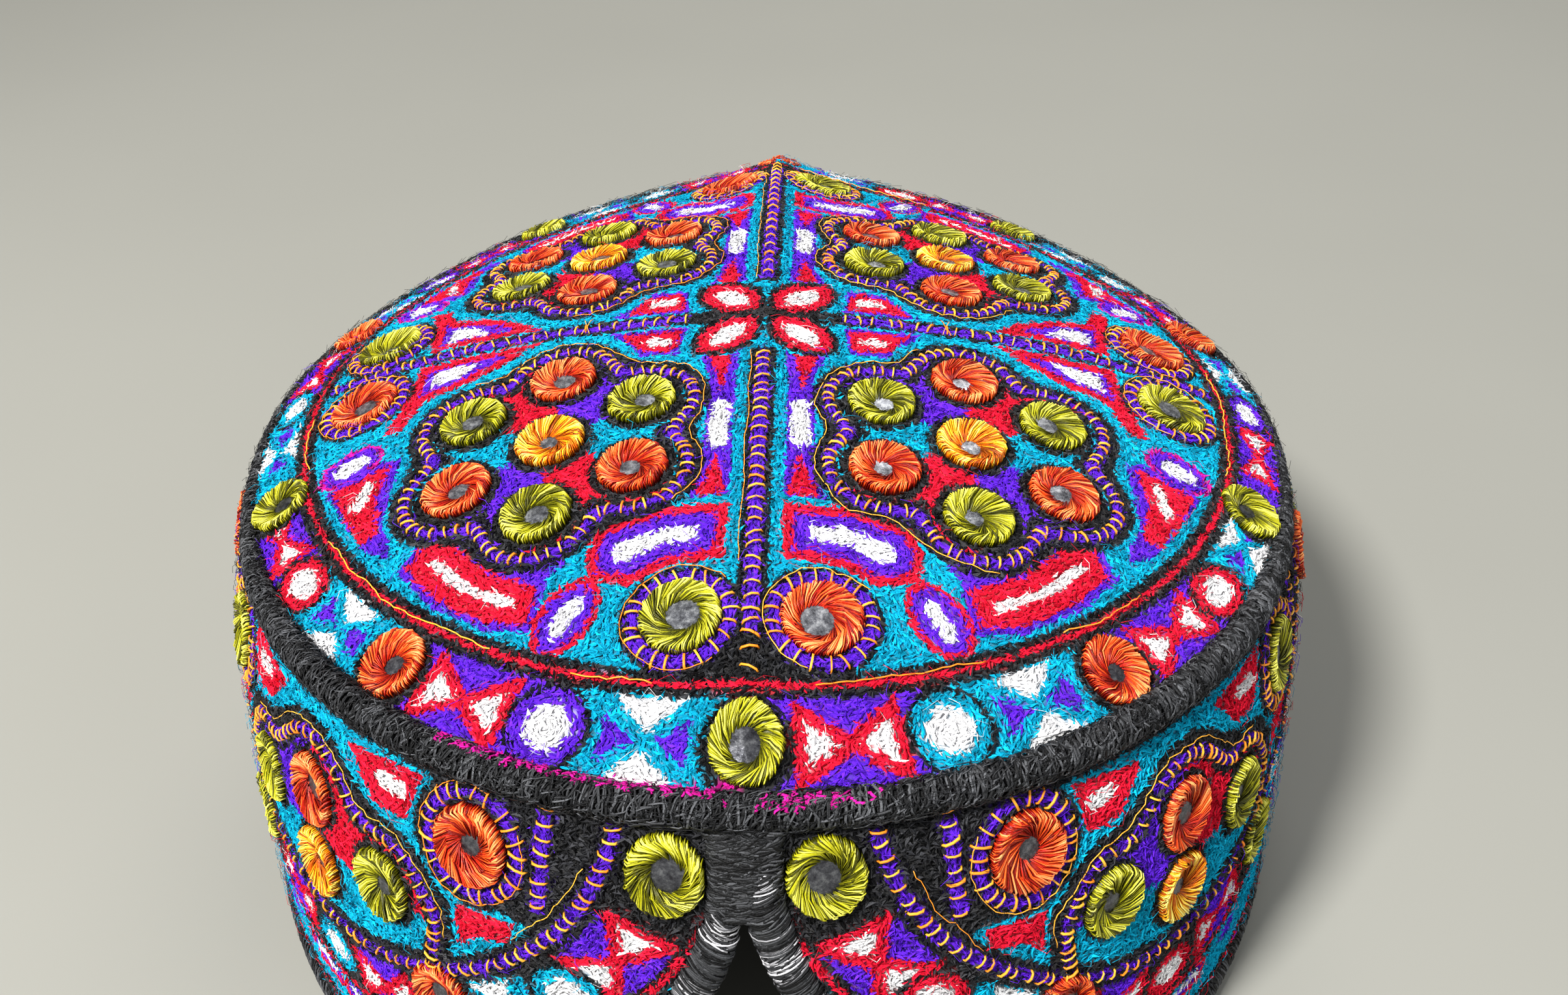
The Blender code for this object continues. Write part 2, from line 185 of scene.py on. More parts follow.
class Nodes:
    def __init__(self, name):
        self.material = bpy.data.materials.new(name)
        self.material.use_nodes = True
        self.tree = self.material.node_tree
        self.shader = self.tree.nodes["Principled BSDF"]

    def put(self, socket, value):
        if isinstance(value, Wire):
            self.tree.links.new(value.socket, socket)
        elif isinstance(value, tuple) and len(value) == 3 and socket.type == "RGBA":
            socket.default_value = (*value, 1)
        else:
            socket.default_value = value

    def add(self, kind, settings=None, values=None, out=0):
        node = self.tree.nodes.new(kind)
        for key, value in (settings or {}).items():
            if key == "stops":
                ramp = node.color_ramp
                while len(ramp.elements) < len(value):
                    ramp.elements.new(0.5)
                for element, (place, colour) in zip(ramp.elements, value):
                    element.position, element.color = place, (*colour, 1)
            else:
                setattr(node, key, value)
        for key, value in (values or {}).items():
            self.put(node.inputs[key], value)
        return Wire(self, node.outputs[out])

    def mix(self, factor, first, second, blend="MIX"):
        settings = {"data_type": "RGBA", "blend_type": blend}
        return self.add("ShaderNodeMix", settings, {0: factor, 6: first, 7: second}, out=2)

    def grain(self, scale, detail=3.0, stretch=(1, 1, 1), roughness=0.55):
        place = self.add("ShaderNodeTexCoord", out=3)
        place = self.add("ShaderNodeMapping", None, {"Vector": place, "Scale": stretch})
        return self.add("ShaderNodeTexNoise", None,
                        {"Vector": place, "Scale": scale, "Detail": detail, "Roughness": roughness})

    def attribute(self, name, out=2):
        return self.add("ShaderNodeAttribute", {"attribute_name": name}, out=out)

    def finish(self, colour, roughness, bump=None, strength=0.5, distance=0.0002, **fixed):
        self.put(self.shader.inputs["Base Color"], colour)
        self.put(self.shader.inputs["Roughness"], roughness)
        if bump is not None:
            values = {"Strength": strength, "Distance": distance, "Height": bump}
            self.put(self.shader.inputs["Normal"], self.add("ShaderNodeBump", None, values))
        for name, value in fixed.items():
            self.put(self.shader.inputs[name.replace("_", " ")], value)
        return self.material


threadDyes = {"black": (0.004, 0.004, 0.005), "teal": (0.0, 0.330, 0.520), "red": (0.860, 0.006, 0.030),
              "violet": (0.105, 0.014, 0.600), "white": (0.860, 0.860, 0.900),
              "magenta": (0.560, 0.008, 0.260)}
threadNames = list(threadDyes)
numberOf = {"bare": -1, **{name: number for number, name in enumerate(threadNames)}}
# each floss has a light tone, a deep tone that paints shade and a bright tone that paints highlights
flossDyes = {"green": ((0.52, 0.50, 0.008), (0.12, 0.12, 0.001), (0.92, 0.90, 0.16)),
             "orange": ((1.00, 0.14, 0.015), (0.50, 0.012, 0.003), (1.00, 0.42, 0.14)),
             "yellow": ((1.00, 0.55, 0.008), (0.80, 0.15, 0.001), (1.00, 0.88, 0.22))}


def woolMaterial(name, dye, spread):
    n = Nodes(name)
    shade = n.attribute("shade")
    fibres = n.grain(5200, 3.0, (1, 1, 0.6))
    patches = n.grain(420, 2.0)
    dark = tuple(c * (1 - spread) for c in dye)
    light = tuple(min(1.0, c * (1 + 0.9 * spread) + 0.006) for c in dye)
    colour = n.mix(shade, dark, light)
    colour = n.mix((fibres - 0.42) * 1.9, colour, tuple(c * 0.22 for c in dye))
    colour = n.mix(patches * 0.3, colour, light)
    return n.finish(colour, 0.75 + 0.2 * fibres, fibres, 0.6, 0.0002, Specular_IOR_Level=0.06)


def blackWoolMaterial(name, light):
    n = Nodes(name)
    shade = n.attribute("shade")
    fibres = n.grain(4200, 4.0)
    # a share of strands, picked by shade squared, is mixed towards the light grey: painted highlight flecks on
    # black wool
    colour = n.mix(shade * shade, (0.0012, 0.0012, 0.0016), light)
    colour = n.mix(fibres * 0.04, colour, (0.05, 0.052, 0.06))
    return n.finish(colour, 0.42 + 0.25 * fibres, fibres, 0.8, 0.0002, Specular_IOR_Level=0.22)


def flossMaterial(name, light, deep, paintedHighlight):
    n = Nodes(name)
    fibres = n.grain(3600, 3.0)
    shade = n.attribute("shade") + 0.3 * (fibres - 0.5)
    # the ramp runs from near-black painted shade in the gaps, through the deep painted shade and the light
    # tone, to the painted highlight
    stops = [(0.0, tuple(c * 0.1 for c in deep)), (0.3, deep), (0.62, light), (1.0, paintedHighlight)]
    tone = n.add("ShaderNodeValToRGB", {"stops": stops}, {"Fac": shade})
    return n.finish(tone, 0.34 + 0.2 * fibres, fibres, 0.35, 0.0001, Specular_IOR_Level=0.35, Anisotropic=0.3)


def plainThreadMaterial(name, light, deep, roughness=0.5):
    n = Nodes(name)
    shade = n.attribute("shade")
    fibres = n.grain(3000, 2.0)
    colour = n.mix(shade, deep, light)
    return n.finish(n.mix(fibres * 0.3, colour, deep), roughness + 0.15 * fibres, fibres, 0.4, 0.0001,
                    Specular_IOR_Level=0.3)


def mirrorMaterial():
    n = Nodes("scratchedMirrorGlass")
    cracks = n.grain(900, 5.0, roughness=0.75)
    stops = [(0.35, (0.06, 0.06, 0.07)), (0.5, (0.22, 0.23, 0.26)), (0.68, (0.62, 0.64, 0.68))]
    tone = n.add("ShaderNodeValToRGB", {"stops": stops}, {"Fac": cracks})
    # the shade attribute sets each mirror's glass from nearly black to the scratched grey: painted reflection
    tone = n.mix(n.attribute("shade"), (0.012, 0.011, 0.016), tone)
    return n.finish(tone, 0.12 + 0.35 * cracks, cracks, 0.25, 0.0002, Metallic=0.75)


def groundMaterial():
    n = Nodes("dyedGroundCloth")
    dye = n.attribute("dye", out=0)
    weave = n.grain(3200, 3.0)
    colour = n.mix(weave * 0.35, dye, (0.004, 0.004, 0.005))
    return n.finish(colour, 0.8 + 0.15 * weave, weave, 0.8, 0.0003, Sheen_Weight=0.3)


def liningMaterial():
    n = Nodes("darkCottonLining")
    place = n.add("ShaderNodeTexCoord", out=3)
    values = {"Vector": place, "Scale": 420.0, "Distortion": 1.5}
    warp, weft = (n.add("ShaderNodeTexWave", {"bands_direction": way}, values, 1) for way in "ZX")
    weave = warp * 0.5 + weft * 0.5
    blotch = n.grain(60, 3.0)
    colour = n.mix(weave, (0.008, 0.008, 0.010), (0.030, 0.029, 0.034))
    colour = n.mix(blotch * 0.4, colour, (0.045, 0.04, 0.042))
    return n.finish(colour, 0.82 + 0.1 * blotch, weave, 0.5, 0.0002)


materials = {"ground": groundMaterial(), "lining": liningMaterial(), "mirror": mirrorMaterial(),
             "gold": plainThreadMaterial("goldenThread", (1.0, 0.56, 0.05), (0.95, 0.24, 0.01), 0.36),
             "grey": plainThreadMaterial("greyWhiteThread", (0.78, 0.78, 0.82), (0.10, 0.10, 0.11)),
             # the light greys given to the black wool and the yarn paint highlight flecks
             "black": blackWoolMaterial("fuzzyBlackWool", (0.036, 0.037, 0.043)),
             "yarn": blackWoolMaterial("oversewnBlackYarn", (0.125, 0.130, 0.142))}
for threadName, dye in threadDyes.items():
    if threadName != "black":
        spread = 0.42 if threadName == "white" else 0.66
        materials[threadName] = woolMaterial(threadName + "Wool", dye, spread)
for flossName, dyes in flossDyes.items():
    materials["floss " + flossName] = flossMaterial(flossName + "SilkFloss", *dyes)
print("materials mixed")


# Meshes from arrays of points

def meshPiece(name, points, faceSets, material, shade, smooth=True):
    mesh = bpy.data.meshes.new(name)
    points = np.asarray(points, np.float32).reshape(-1, 3) * 0.001
    mesh.vertices.add(len(points))
    mesh.vertices.foreach_set("co", points.ravel())
    faceSets = [np.asarray(faces, np.int32) for faces in faceSets if len(faces)]
    corners = np.concatenate([faces.ravel() for faces in faceSets])
    counts = np.concatenate([np.full(len(faces), faces.shape[1], np.int32) for faces in faceSets])
    mesh.loops.add(len(corners))
    mesh.loops.foreach_set("vertex_index", corners)
    mesh.polygons.add(len(counts))
    mesh.polygons.foreach_set("loop_start", np.concatenate([[0], np.cumsum(counts)[:-1]]).astype(np.int32))
    mesh.update(calc_edges=True)
    mesh.polygons.foreach_set("use_smooth", np.full(len(counts), smooth))
    layer = mesh.attributes.new("shade", "FLOAT", "POINT")
    layer.data.foreach_set("value", np.asarray(shade, np.float32))
    mesh.materials.append(material)
    piece = bpy.data.objects.new(name, mesh)
    bpy.context.scene.collection.objects.link(piece)
    return piece


def tubes(paths, ups, radius, sides=3, flat=1.0):
    # closed threads along equal paths, an array of (many, steps, 3); flat thins them along ups
    paths = np.asarray(paths, float)
    many, steps = paths.shape[:2]
    along = np.empty_like(paths)
    along[:, 1:-1] = paths[:, 2:] - paths[:, :-2]
    along[:, 0], along[:, -1] = paths[:, 1] - paths[:, 0], paths[:, -1] - paths[:, -2]
    along = unit(along)
    side = unit(np.cross(along, ups))
    up = np.cross(side, along)
    radius = np.broadcast_to(np.asarray(radius, float), (many, steps))[..., None]
    rings = []
    for index in range(sides):
        angle = math.tau * (index + 0.5) / sides
        rings.append(paths + radius * (math.cos(angle) * side + math.sin(angle) * flat * up))
    points = np.stack(rings, 2).reshape(-1, 3)
    start = (np.arange(many)[:, None] * steps + np.arange(steps - 1)[None]).reshape(-1) * sides
    quads = []
    for index in range(sides):
        after = (index + 1) % sides
        corners = [start + index, start + index + sides, start + after + sides, start + after]
        quads.append(np.stack(corners, -1))
    first = np.arange(many) * steps * sides
    last = first + (steps - 1) * sides
    caps = [np.stack([first + index for index in range(sides)], -1),
            np.stack([last + index for index in reversed(range(sides))], -1)]
    return points, [np.concatenate(quads), np.concatenate(caps)]


def joined(parts):
    # several (points, faceSets, shade) into one
    offset, points, sets, shades = 0, [], [], []
    for partPoints, partSets, shade in parts:
        points.append(partPoints)
        sets.extend(faces + offset for faces in partSets)
        shades.append(shade)
        offset += len(partPoints)
    byWidth = {}
    for faces in sets:
        byWidth.setdefault(faces.shape[1], []).append(faces)
    faceSets = [np.concatenate(group) for group in byWidth.values()]
    return np.concatenate(points), faceSets, np.concatenate(shades)


def threadsPart(paths, ups, radius, sides=3, shade=None, flat=1.0):
    points, sets = tubes(paths, ups, radius, sides, flat)
    many, steps = np.asarray(paths).shape[:2]
    shade = rng.random(many) if shade is None else np.asarray(shade)
    shade = np.repeat(shade.ravel(), sides) if shade.ndim == 2 else np.repeat(shade, steps * sides)
    return points, sets, shade


def dress(piece, slot, *nodes):
    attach(piece, "root")
    if nodes:
        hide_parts(*nodes)
    return piece


def makePiece(name, parts, material, slot, *nodes, smooth=True):
    points, faceSets, shade = joined(parts)
    dress(meshPiece(name, points, faceSets, materials[material], shade, smooth), slot, *nodes)


def deselectAll():
    bpy.ops.object.select_all(action="DESELECT")


def takeShape():
    # the active object's points and triangles as arrays; the object goes
    thing = bpy.context.object
    mesh = thing.data
    mesh.calc_loop_triangles()
    points = np.array([v.co for v in mesh.vertices])
    faces = np.array([t.vertices for t in mesh.loop_triangles])
    bpy.data.objects.remove(thing)
    return points, faces


def modelStitch():
    # one wisp of wool, modelled once: a sliver along x with a ridge above and two corners below it
    deselectAll()
    bpy.ops.mesh.primitive_cone_add(vertices=3, radius1=0.5, radius2=0, depth=1)
    points, faces = takeShape()
    points[np.argsort(points[:, 2])] = [(-0.5, 0, 0), (0, -0.5, -0.6), (0, 0.5, -0.6), (0.5, 0, 0)]
    a, b, c = points[faces[0]]
    if np.dot(np.cross(b - a, c - a), points.mean(0) - a) > 0:
        faces = faces[:, ::-1]
    return points, faces


stitchPoints, stitchFaces = modelStitch()


def stitches(centres, along, normals, sizes):
    # copies of the stitch, each laid along its row; sizes is (many, 3)
    along = unit(along - normals * np.sum(along * normals, -1, keepdims=True))
    side = np.cross(normals, along)
    local = stitchPoints[None] * sizes[:, None]
    points = (centres[:, None] + local[..., :1] * along[:, None] + local[..., 1:2] * side[:, None]
              + local[..., 2:] * normals[:, None])
    faces = stitchFaces[None] + (np.arange(len(centres)) * len(stitchPoints))[:, None, None]
    return points.reshape(-1, 3), faces.reshape(-1, 3)


# Figures of the embroidery as distances, below zero inside

def circleAt(p, centre, radius):
    return np.hypot(p[:, 0] - centre[0], p[:, 1] - centre[1]) - radius


def ovalAt(p, centre, half, tilt=0.0):
    x, y = p[:, 0] - centre[0], p[:, 1] - centre[1]
    c, s = math.cos(tilt), math.sin(tilt)
    x, y = (x * c + y * s) / half[0], (y * c - x * s) / half[1]
    reach = np.hypot(x, y)
    return reach * (reach - 1) / np.maximum(np.hypot(x / half[0], y / half[1]), 1e-6)


def lineAt(p, points):
    best = np.full(len(p), 1e9)
    for a, b in zip(points[:-1], points[1:]):
        a, b = np.array(a, float), np.array(b, float)
        share = np.clip(((p - a) @ (b - a)) / ((b - a) @ (b - a)), 0, 1)
        best = np.minimum(best, np.linalg.norm(p - a - share[:, None] * (b - a), axis=1))
    return best


def polygonAt(p, points):
    inside = np.zeros(len(p), bool)
    for (ax, ay), (bx, by) in zip(points, points[1:] + points[:1]):
        crosses = ((ay > p[:, 1]) != (by > p[:, 1]))
        at = (bx - ax) * (p[:, 1] - ay) / (by - ay if by != ay else 1e-9) + ax
        inside ^= crosses & (p[:, 0] < at)
    distance = lineAt(p, points + points[:1])
    return np.where(inside, -distance, distance)


def softUnion(distances, blend):
    total = distances[0]
    for other in distances[1:]:
        near = np.clip(0.5 + 0.5 * (other - total) / blend, 0, 1)
        total = other * (1 - near) + total * near - blend * near * (1 - near)
    return total


class Embroidery:
    # which thread lies at each place, and how deep it is in its figure
    def __init__(self, places, ground):
        self.thread = np.full(len(places), numberOf[ground])
        self.depth = np.full(len(places), 1e3)
        self.inFigure = np.zeros(len(places), bool)

    def sew(self, distance, rings):
        inside = distance <= 0
        for limit, thread in rings:
            chosen = distance <= limit
            if isinstance(thread, str):
                self.thread[chosen] = numberOf[thread]
            else:
                self.thread[chosen] = thread[chosen]
        outside = np.where(self.inFigure, self.depth, np.minimum(self.depth, distance))
        self.depth = np.where(inside, distance, outside)
        self.inFigure |= inside


crownWork = {
    "clusterCentre": (31.4, 29.9), "clusterRadius": 15.2, "mirrorRadius": 5.4, "flossRadius": 5.1,
    "lobeRadius": 9.6, "lobeBlend": 4.6, "scallopMiddle": 16.5, "pairs": ((9.3, 65.6), (65.8, 9.2)),
    "pairRadius": 8.3, "pairFloss": 5.5, "ringRadius": 75.8, "ringHalf": 1.7, "petal": (5.9, 5.8),
    "petalHalfLength": 6.1, "petalHalfWidth": 4.0, "borderScale": 82.0, "borderMirrors": 10,
    "borderInset": 7.3, "sideSpread": 2.2, "backSpread": 1.6, "frontHalf": (4.6, 5.5),
    "borderHalf": (4.5, 4.8)}
# Crown figures in one quarter, x to the side and y away from the middle, from the outline inwards
crownFigures = [
    ("polygon", [(3.6, 11.6), (9.8, 11.8), (8.1, 17), (8.1, 36.5), (9.6, 44.8), (3.8, 44.8), (4.0, 36.5),
                 (4.0, 17)], [(0, "violet")]),
    ("polygon", [(4.8, 11.8), (8.6, 11.8), (6.1, 20.5)], [(0, "red")]),
    ("polygon", [(6.0, 36.2), (8.9, 44.5), (4.3, 44.5)], [(0, "red")]),
    ("line", [(6.0, 25.0), (6.1, 33.0)], 1.5, [(0, "white")]),
    ("polygon", [(12.8, 2.5), (25.5, 2.5), (21.4, 7.0), (19.4, 10.2), (13.6, 10.0)], [(0, "violet")]),
    ("polygon", [(13.6, 3.3), (23.4, 3.4), (20.4, 8.2), (15.4, 9.6), (13.8, 8.2)], [(0, "red")]),
    ("line", [(15.9, 6.4), (18.6, 6.2)], 1.1, [(0, "white")]),
    ("polygon", [(37.2, 2.2), (57.4, 2.3), (57.8, 9.6), (60.2, 19.6), (57.4, 19.4), (54.6, 12.8),
                 (48.2, 10.6), (43.0, 7.2)], [(0, "red"), (-1.9, "violet")]),
    ("polygon", [(46.4, 4.6), (54.6, 4.8), (54.6, 9.4), (50.2, 8.4)], [(0, "white")]),
    ("oval", (64.2, 25.4), (5.4, 4.2), 0.4, [(0, "magenta"), (-0.9, "violet"), (-2.4, "white")]),
    ("polygon", [(55.6, 26.8), (58.5, 26.4), (67.0, 30.4), (61.6, 39.0), (57.2, 45.6), (53.0, 48.0),
                 (53.6, 44.8), (55.6, 41.0)], [(0, "violet")]),
    ("polygon", [(56.8, 27.6), (66.0, 30.6), (62.6, 37.0), (58.4, 43.8), (55.9, 42.6), (57.8, 35.0)],
     [(0, "red")]),
    ("line", [(59.9, 31.4), (60.6, 35.6)], 1.1, [(0, "white")]),
    ("polygon", [(3.8, 46.4), (13.2, 46.0), (21.8, 49.0), (23.4, 53.2), (22.6, 58.2), (16.8, 59.6),
                 (11.6, 56.8), (4.0, 56.2)], [(0, "red"), (-1.5, "violet"), (-3.8, "white")]),
    ("polygon", [(25.8, 54.6), (34.5, 53.8), (31.0, 59.5)], [(0, "violet")]),
    ("polygon", [(28.2, 57.6), (36.4, 53.6), (42.8, 47.2), (48.6, 46.4), (50.8, 51.6), (44.6, 58.6),
                 (36.4, 64.0), (29.6, 65.4)], [(0, "violet"), (-1.1, "red"), (-3.7, "white")]),
    ("oval", (25.0, 63.8), (4.1, 6.3), -0.5, [(0, "red"), (-1.0, "violet"), (-2.7, "white")]),
]
crownRings = {
    "scallop": [(0, "black"), (-1.55, "violet"), (-3.05, "black")],
    "pair": [(0, "black"), (-0.9, "violet"), (-2.7, "black"), (-2.9, "bare")],
    "lengthwise": [(0, "black"), (-1.0, "violet")], "crosswise": [(0, "black"), (-0.85, "violet")],
    "petal": [(0, "black"), (-1.1, "red"), (-2.9, "white")], "mirror": [(0, "black"), (-0.9, "bare")],
    "fieldLine": [(0, "black"), (-1.25, "red")]}
clusterFills = {(-1, -1): ("violet", "teal", "red"), (1, -1): ("red", "teal", "violet"),
                (-1, 1): ("red", "teal", "violet"), (1, 1): ("violet", "teal", "red")}
rosetteRings = ("teal", "red", "violet", "teal", "red", "teal", "violet", "teal", "red", "violet")


def sewFigures(work, places, figures):
    for figure in figures:
        kind, rings = figure[0], figure[-1]
        if kind == "polygon":
            distance = polygonAt(places, figure[1])
        elif kind == "line":
            distance = lineAt(places, figure[1]) - figure[2]
        else:
            distance = ovalAt(places, figure[1], figure[2], figure[3])
        work.sew(distance, rings)


def hexPlaces(centre, radius):
    return [(centre[0] + radius * math.cos(math.radians(90 - 60 * k)),
             centre[1] + radius * math.sin(math.radians(90 - 60 * k))) for k in range(6)]


def crownScallop(q):
    centre = crownWork["clusterCentre"]
    places = hexPlaces(centre, crownWork["clusterRadius"])
    lobes = [circleAt(q, place, crownWork["lobeRadius"]) for place in places]
    middle = circleAt(q, centre, crownWork["scallopMiddle"])
    return np.minimum(softUnion(lobes, crownWork["lobeBlend"]), middle)


def sewCross(work, u, v, warm):
    # a bow-tie of two wings along u with triangles above and below; warm is the red one
    tips = polygonAt(np.stack([u, np.abs(v)], -1), [(-6.2, 5.6), (0, 0.4), (6.2, 5.6)])
    work.sew(tips, [(0, "violet")] if warm else [(0, "teal"), (-0.4, "white")])
    wing = polygonAt(np.stack([np.abs(u), v], -1), [(-0.4, 0.8), (-0.4, -0.8), (7.2, -5.7), (7.2, 5.7)])
    work.sew(wing, [(0, "red" if warm else "teal"), (-1.55, "white" if warm else "violet")])


def borderTurn(number):
    # turn of a border mirror, counted from the front
    number = (number + 5) % 10 - 5
    return math.radians(36 * number - (3 * number / 2 if abs(number) == 2 else 0))


def crownPattern(p):
    x, y = p[:, 0], p[:, 1]
    q = np.abs(p)
    turn, reach = np.arctan2(x, -y), np.hypot(x, y)
    work = Embroidery(p, "teal")
    sewFigures(work, q, crownFigures)
    # clusters of seven
    scallop = crownScallop(q)
    work.sew(scallop - 0.9, crownRings["scallop"])
    centre = crownWork["clusterCentre"]
    mirrorPlaces = [centre] + hexPlaces(centre, crownWork["clusterRadius"])
    toMirror = np.min([circleAt(q, place, crownWork["mirrorRadius"]) for place in mirrorPlaces], axis=0)
    # the hexagon stands the same way in every quarter, so sectors are counted on the cap itself
    angle = np.degrees(np.arctan2(y - np.sign(y) * centre[1], x - np.sign(x) * centre[0]))
    sector = ((90 - angle) % 360 // 60).astype(int)
    fill = np.zeros(len(p), int)
    for (sideX, sideY), colours in clusterFills.items():
        here = (np.sign(x) == sideX) & (np.sign(y) == sideY)
        table = np.array([numberOf[name] for name in colours])
        fill[here] = table[sector[here] % 3]
    work.sew(np.maximum(scallop + 2.9, 1.15 - toMirror), [(0, fill)])
    work.sew(toMirror, [(0, "bare")])
    # pairs with a braided ring
    for place in crownWork["pairs"]:
        work.sew(circleAt(q, place, crownWork["pairRadius"]), crownRings["pair"])
    # braids along the cross, black round the middle
    work.sew(np.maximum(q[:, 0] - 2.0, 10.6 - q[:, 1]), crownRings["lengthwise"])
    work.sew(np.maximum(q[:, 1] - 1.8, 11.0 - q[:, 0]), crownRings["crosswise"])
    work.sew(polygonAt(q, [(-1, 68), (2, 69), (8.5, 75), (-1, 76)]), [(0, "black")])
    work.sew(np.maximum(q[:, 1] - 1.9, q[:, 0] - 12.5), [(0, "black")])
    half, width = crownWork["petalHalfLength"], crownWork["petalHalfWidth"]
    bow = (half ** 2 + width ** 2) / (2 * width)
    cx, cy = crownWork["petal"]
    shift = (bow - width) / math.sqrt(2)
    petal = np.maximum(circleAt(q, (cx + shift, cy - shift), bow), circleAt(q, (cx - shift, cy + shift), bow))
    work.sew(petal - 1.1, crownRings["petal"])
    # line round the field and the border beyond it
    ring = crownWork["ringRadius"] + 0.6 * np.sin(turn) ** 2
    inner = ring + crownWork["ringHalf"]
    outer = edgeRadius(turn, 1.5, 1.2)
    u = turn * crownWork["borderScale"]
    period = math.radians(36) * crownWork["borderScale"]
    coolHalf = (u / period) % 1 > 0.5
    work.sew(inner - reach, [(0, np.where(coolHalf, numberOf["teal"], numberOf["violet"]))])
    v = ((reach - inner) / (outer - inner) - 0.5) * 10.9
    for number in range(-5, 6):
        place = number * period
        sewCross(work, u - place - 0.25 * period, v, True)
        sewCross(work, u - place - 0.75 * period, v, False)
        colour = rosetteRings[number % 10]
        dot = ovalAt(np.stack([u - place - 0.5 * period, v], -1), (0, 0), (5.9, 5.6))
        work.sew(dot, [(0, "black"), (-0.8, colour), (-2.6, "white")])
        mirrorPlace = (borderTurn(number) * crownWork["borderScale"], 0.3)
        work.sew(ovalAt(np.stack([u, v], -1), mirrorPlace, (6.0, 6.2)), crownRings["mirror"])
    hem = np.abs(u + 21) - 18 + 3 * np.sin(u * 0.9)
    work.sew(np.maximum(4.7 - v, hem), [(0, "magenta")])
    work.sew(np.abs(reach - ring) - crownWork["ringHalf"], crownRings["fieldLine"])
    return work


bandWork = {
    "swagMiddle": 66.0, "swagHalfWidth": 50.3, "swagDepth": 44.5, "swagFullness": 1.85, "quarter": 141.37,
    "ringMirror": (30.8, 11.8), "ringMirrorHalf": (8.6, 9.9), "mirrorHalf": (4.8, 6.0),
    "ringedHalf": (5.2, 6.1), "round": 565.49, "halfRound": 282.74, "betweenMirrors": (17.0, 46.5),
    "clusterMirrors": ((0.0, 19.5), (15.2, 26.8), (0.0, 33.6)), "borderMiddle": 7.5, "borderEdge": 13.6,
    "borderMirrors": ((56.4, 9.4), (24.4, 43.4)), "tall": 1.17, "sideShift": 4.0, "lobeRadius": 9.2,
    "lobeMiddle": 12.5, "lobeSide": 24.4, "lobeBlend": 6.0, "backFrom": 141.4}
# Figures inside a swag, x from the swag's middle and y down from the seam
bandFigures = [
    ("polygon", [(31.0, -4), (70, -4), (62, 16), (40, 24.0), (37.5, 21.8), (31.0, 21.4)], [(0, "black")]),
    ("polygon", [(22.8, 4.4), (8.4, 6.0), (14, 12.8), (20.2, 12.8)], [(0, "red")]),
    ("line", [(15.6, 8.2), (19.0, 8.4)], 1.3, [(0, "white")]),
    ("polygon", [(36.8, 22.6), (28.0, 23.0), (28.2, 30.2), (31.5, 27.4), (36.0, 26.6)], [(0, "red")]),
]
bandRings = {
    "scallop": [(0, "black"), (-2.15, "violet"), (-3.45, "black")],
    "swagMirror": [(0, "black"), (-1.4, "violet"), (-3.3, "black"), (-3.8, "bare")],
    "mirrorBetween": [(0, "black"), (-1.0, "violet"), (-2.8, "black"), (-3.3, "bare")],
    "mirror": [(0, "black"), (-0.9, "bare")], "swag": [(0, "black"), (-1.4, "violet")],
    "borderLine": [(0, "black"), (-0.8, "red")], "hem": [(0, "black"), (-1.2, "red"), (-2.4, "black")]}
betweenSwags = [
    ("oval", (0, 31.5), (4.2, 6.0), 0.0, [(0, "red"), (-1.4, "violet"), (-2.8, "white")]),
    ("line", [(11.5, 47.5), (17.5, 43.0)], 4.2, [(0, "violet"), (-1.4, "red"), (-3.1, "white")]),
    ("polygon", [(10.6, 56.0), (18.0, 53.0), (25.0, 55.6), (24.0, 61.4), (14.5, 62.2)],
     [(0, "red"), (-1.5, "violet"), (-3.0, "white")]),
    ("polygon", [(26.6, 50.6), (33.6, 55.4), (27.6, 60.4)], [(0, "violet"), (-1.7, "red")]),
    ("polygon", [(3.6, 57.6), (9.4, 55.4), (9.4, 62.0), (3.0, 62.0)], [(0, "violet")]),
]
underSwag = [
    ("polygon", [(-0.1, 58.4), (9.0, 58.0), (12.0, 61.0), (9.0, 64.6), (-0.1, 64.6)],
     [(0, "red"), (-1.3, "violet"), (-2.3, "white")]),
    ("polygon", [(14.5, 61.0), (20.5, 58.4), (20.5, 63.8)], [(0, "violet")]),
]


def swagLine():
    turns = np.linspace(0, np.pi, 73)
    power = 2 / bandWork["swagFullness"]
    x = -np.sign(np.cos(turns)) * np.abs(np.cos(turns)) ** power * bandWork["swagHalfWidth"]
    y = np.sin(turns) ** power * bandWork["swagDepth"]
    return np.stack([x, y], -1)


def alongLine(p, line):
    # distance from a line, above zero outside the swag, the place along it and its length
    lengths = np.linalg.norm(np.diff(line, axis=0), axis=1)
    starts = np.concatenate([[0], np.cumsum(lengths)])
    best, place = np.full(len(p), 1e9), np.zeros(len(p))
    for a, b, start, length in zip(line[:-1], line[1:], starts, lengths):
        share = np.clip(((p - a) @ (b - a)) / length ** 2, 0, 1)
        distance = np.linalg.norm(p - a - share[:, None] * (b - a), axis=1)
        nearer = distance < best
        best, place = np.where(nearer, distance, best), np.where(nearer, start + share * length, place)
    x, y = np.abs(p[:, 0]) / bandWork["swagHalfWidth"], np.maximum(p[:, 1], 0) / bandWork["swagDepth"]
    outside = x ** bandWork["swagFullness"] + y ** bandWork["swagFullness"] > 1
    return np.where(outside, best, -best), place, starts[-1]


def sideShift(arc):
    return bandWork["sideShift"] * smoothly((arc - 33) / 27) * smoothly((262 - arc) / 100)


def foldBand(p):
    # the arc folded on to one swag, and unfolded with the pattern's shift on the left side
    arc = (p[:, 0] + bandWork["halfRound"]) % bandWork["round"] - bandWork["halfRound"]
    shifted = arc + sideShift(arc)
    folded = np.abs(shifted)
    folded = np.where(folded > bandWork["quarter"], 2 * bandWork["quarter"] - folded, folded)
    return folded, shifted


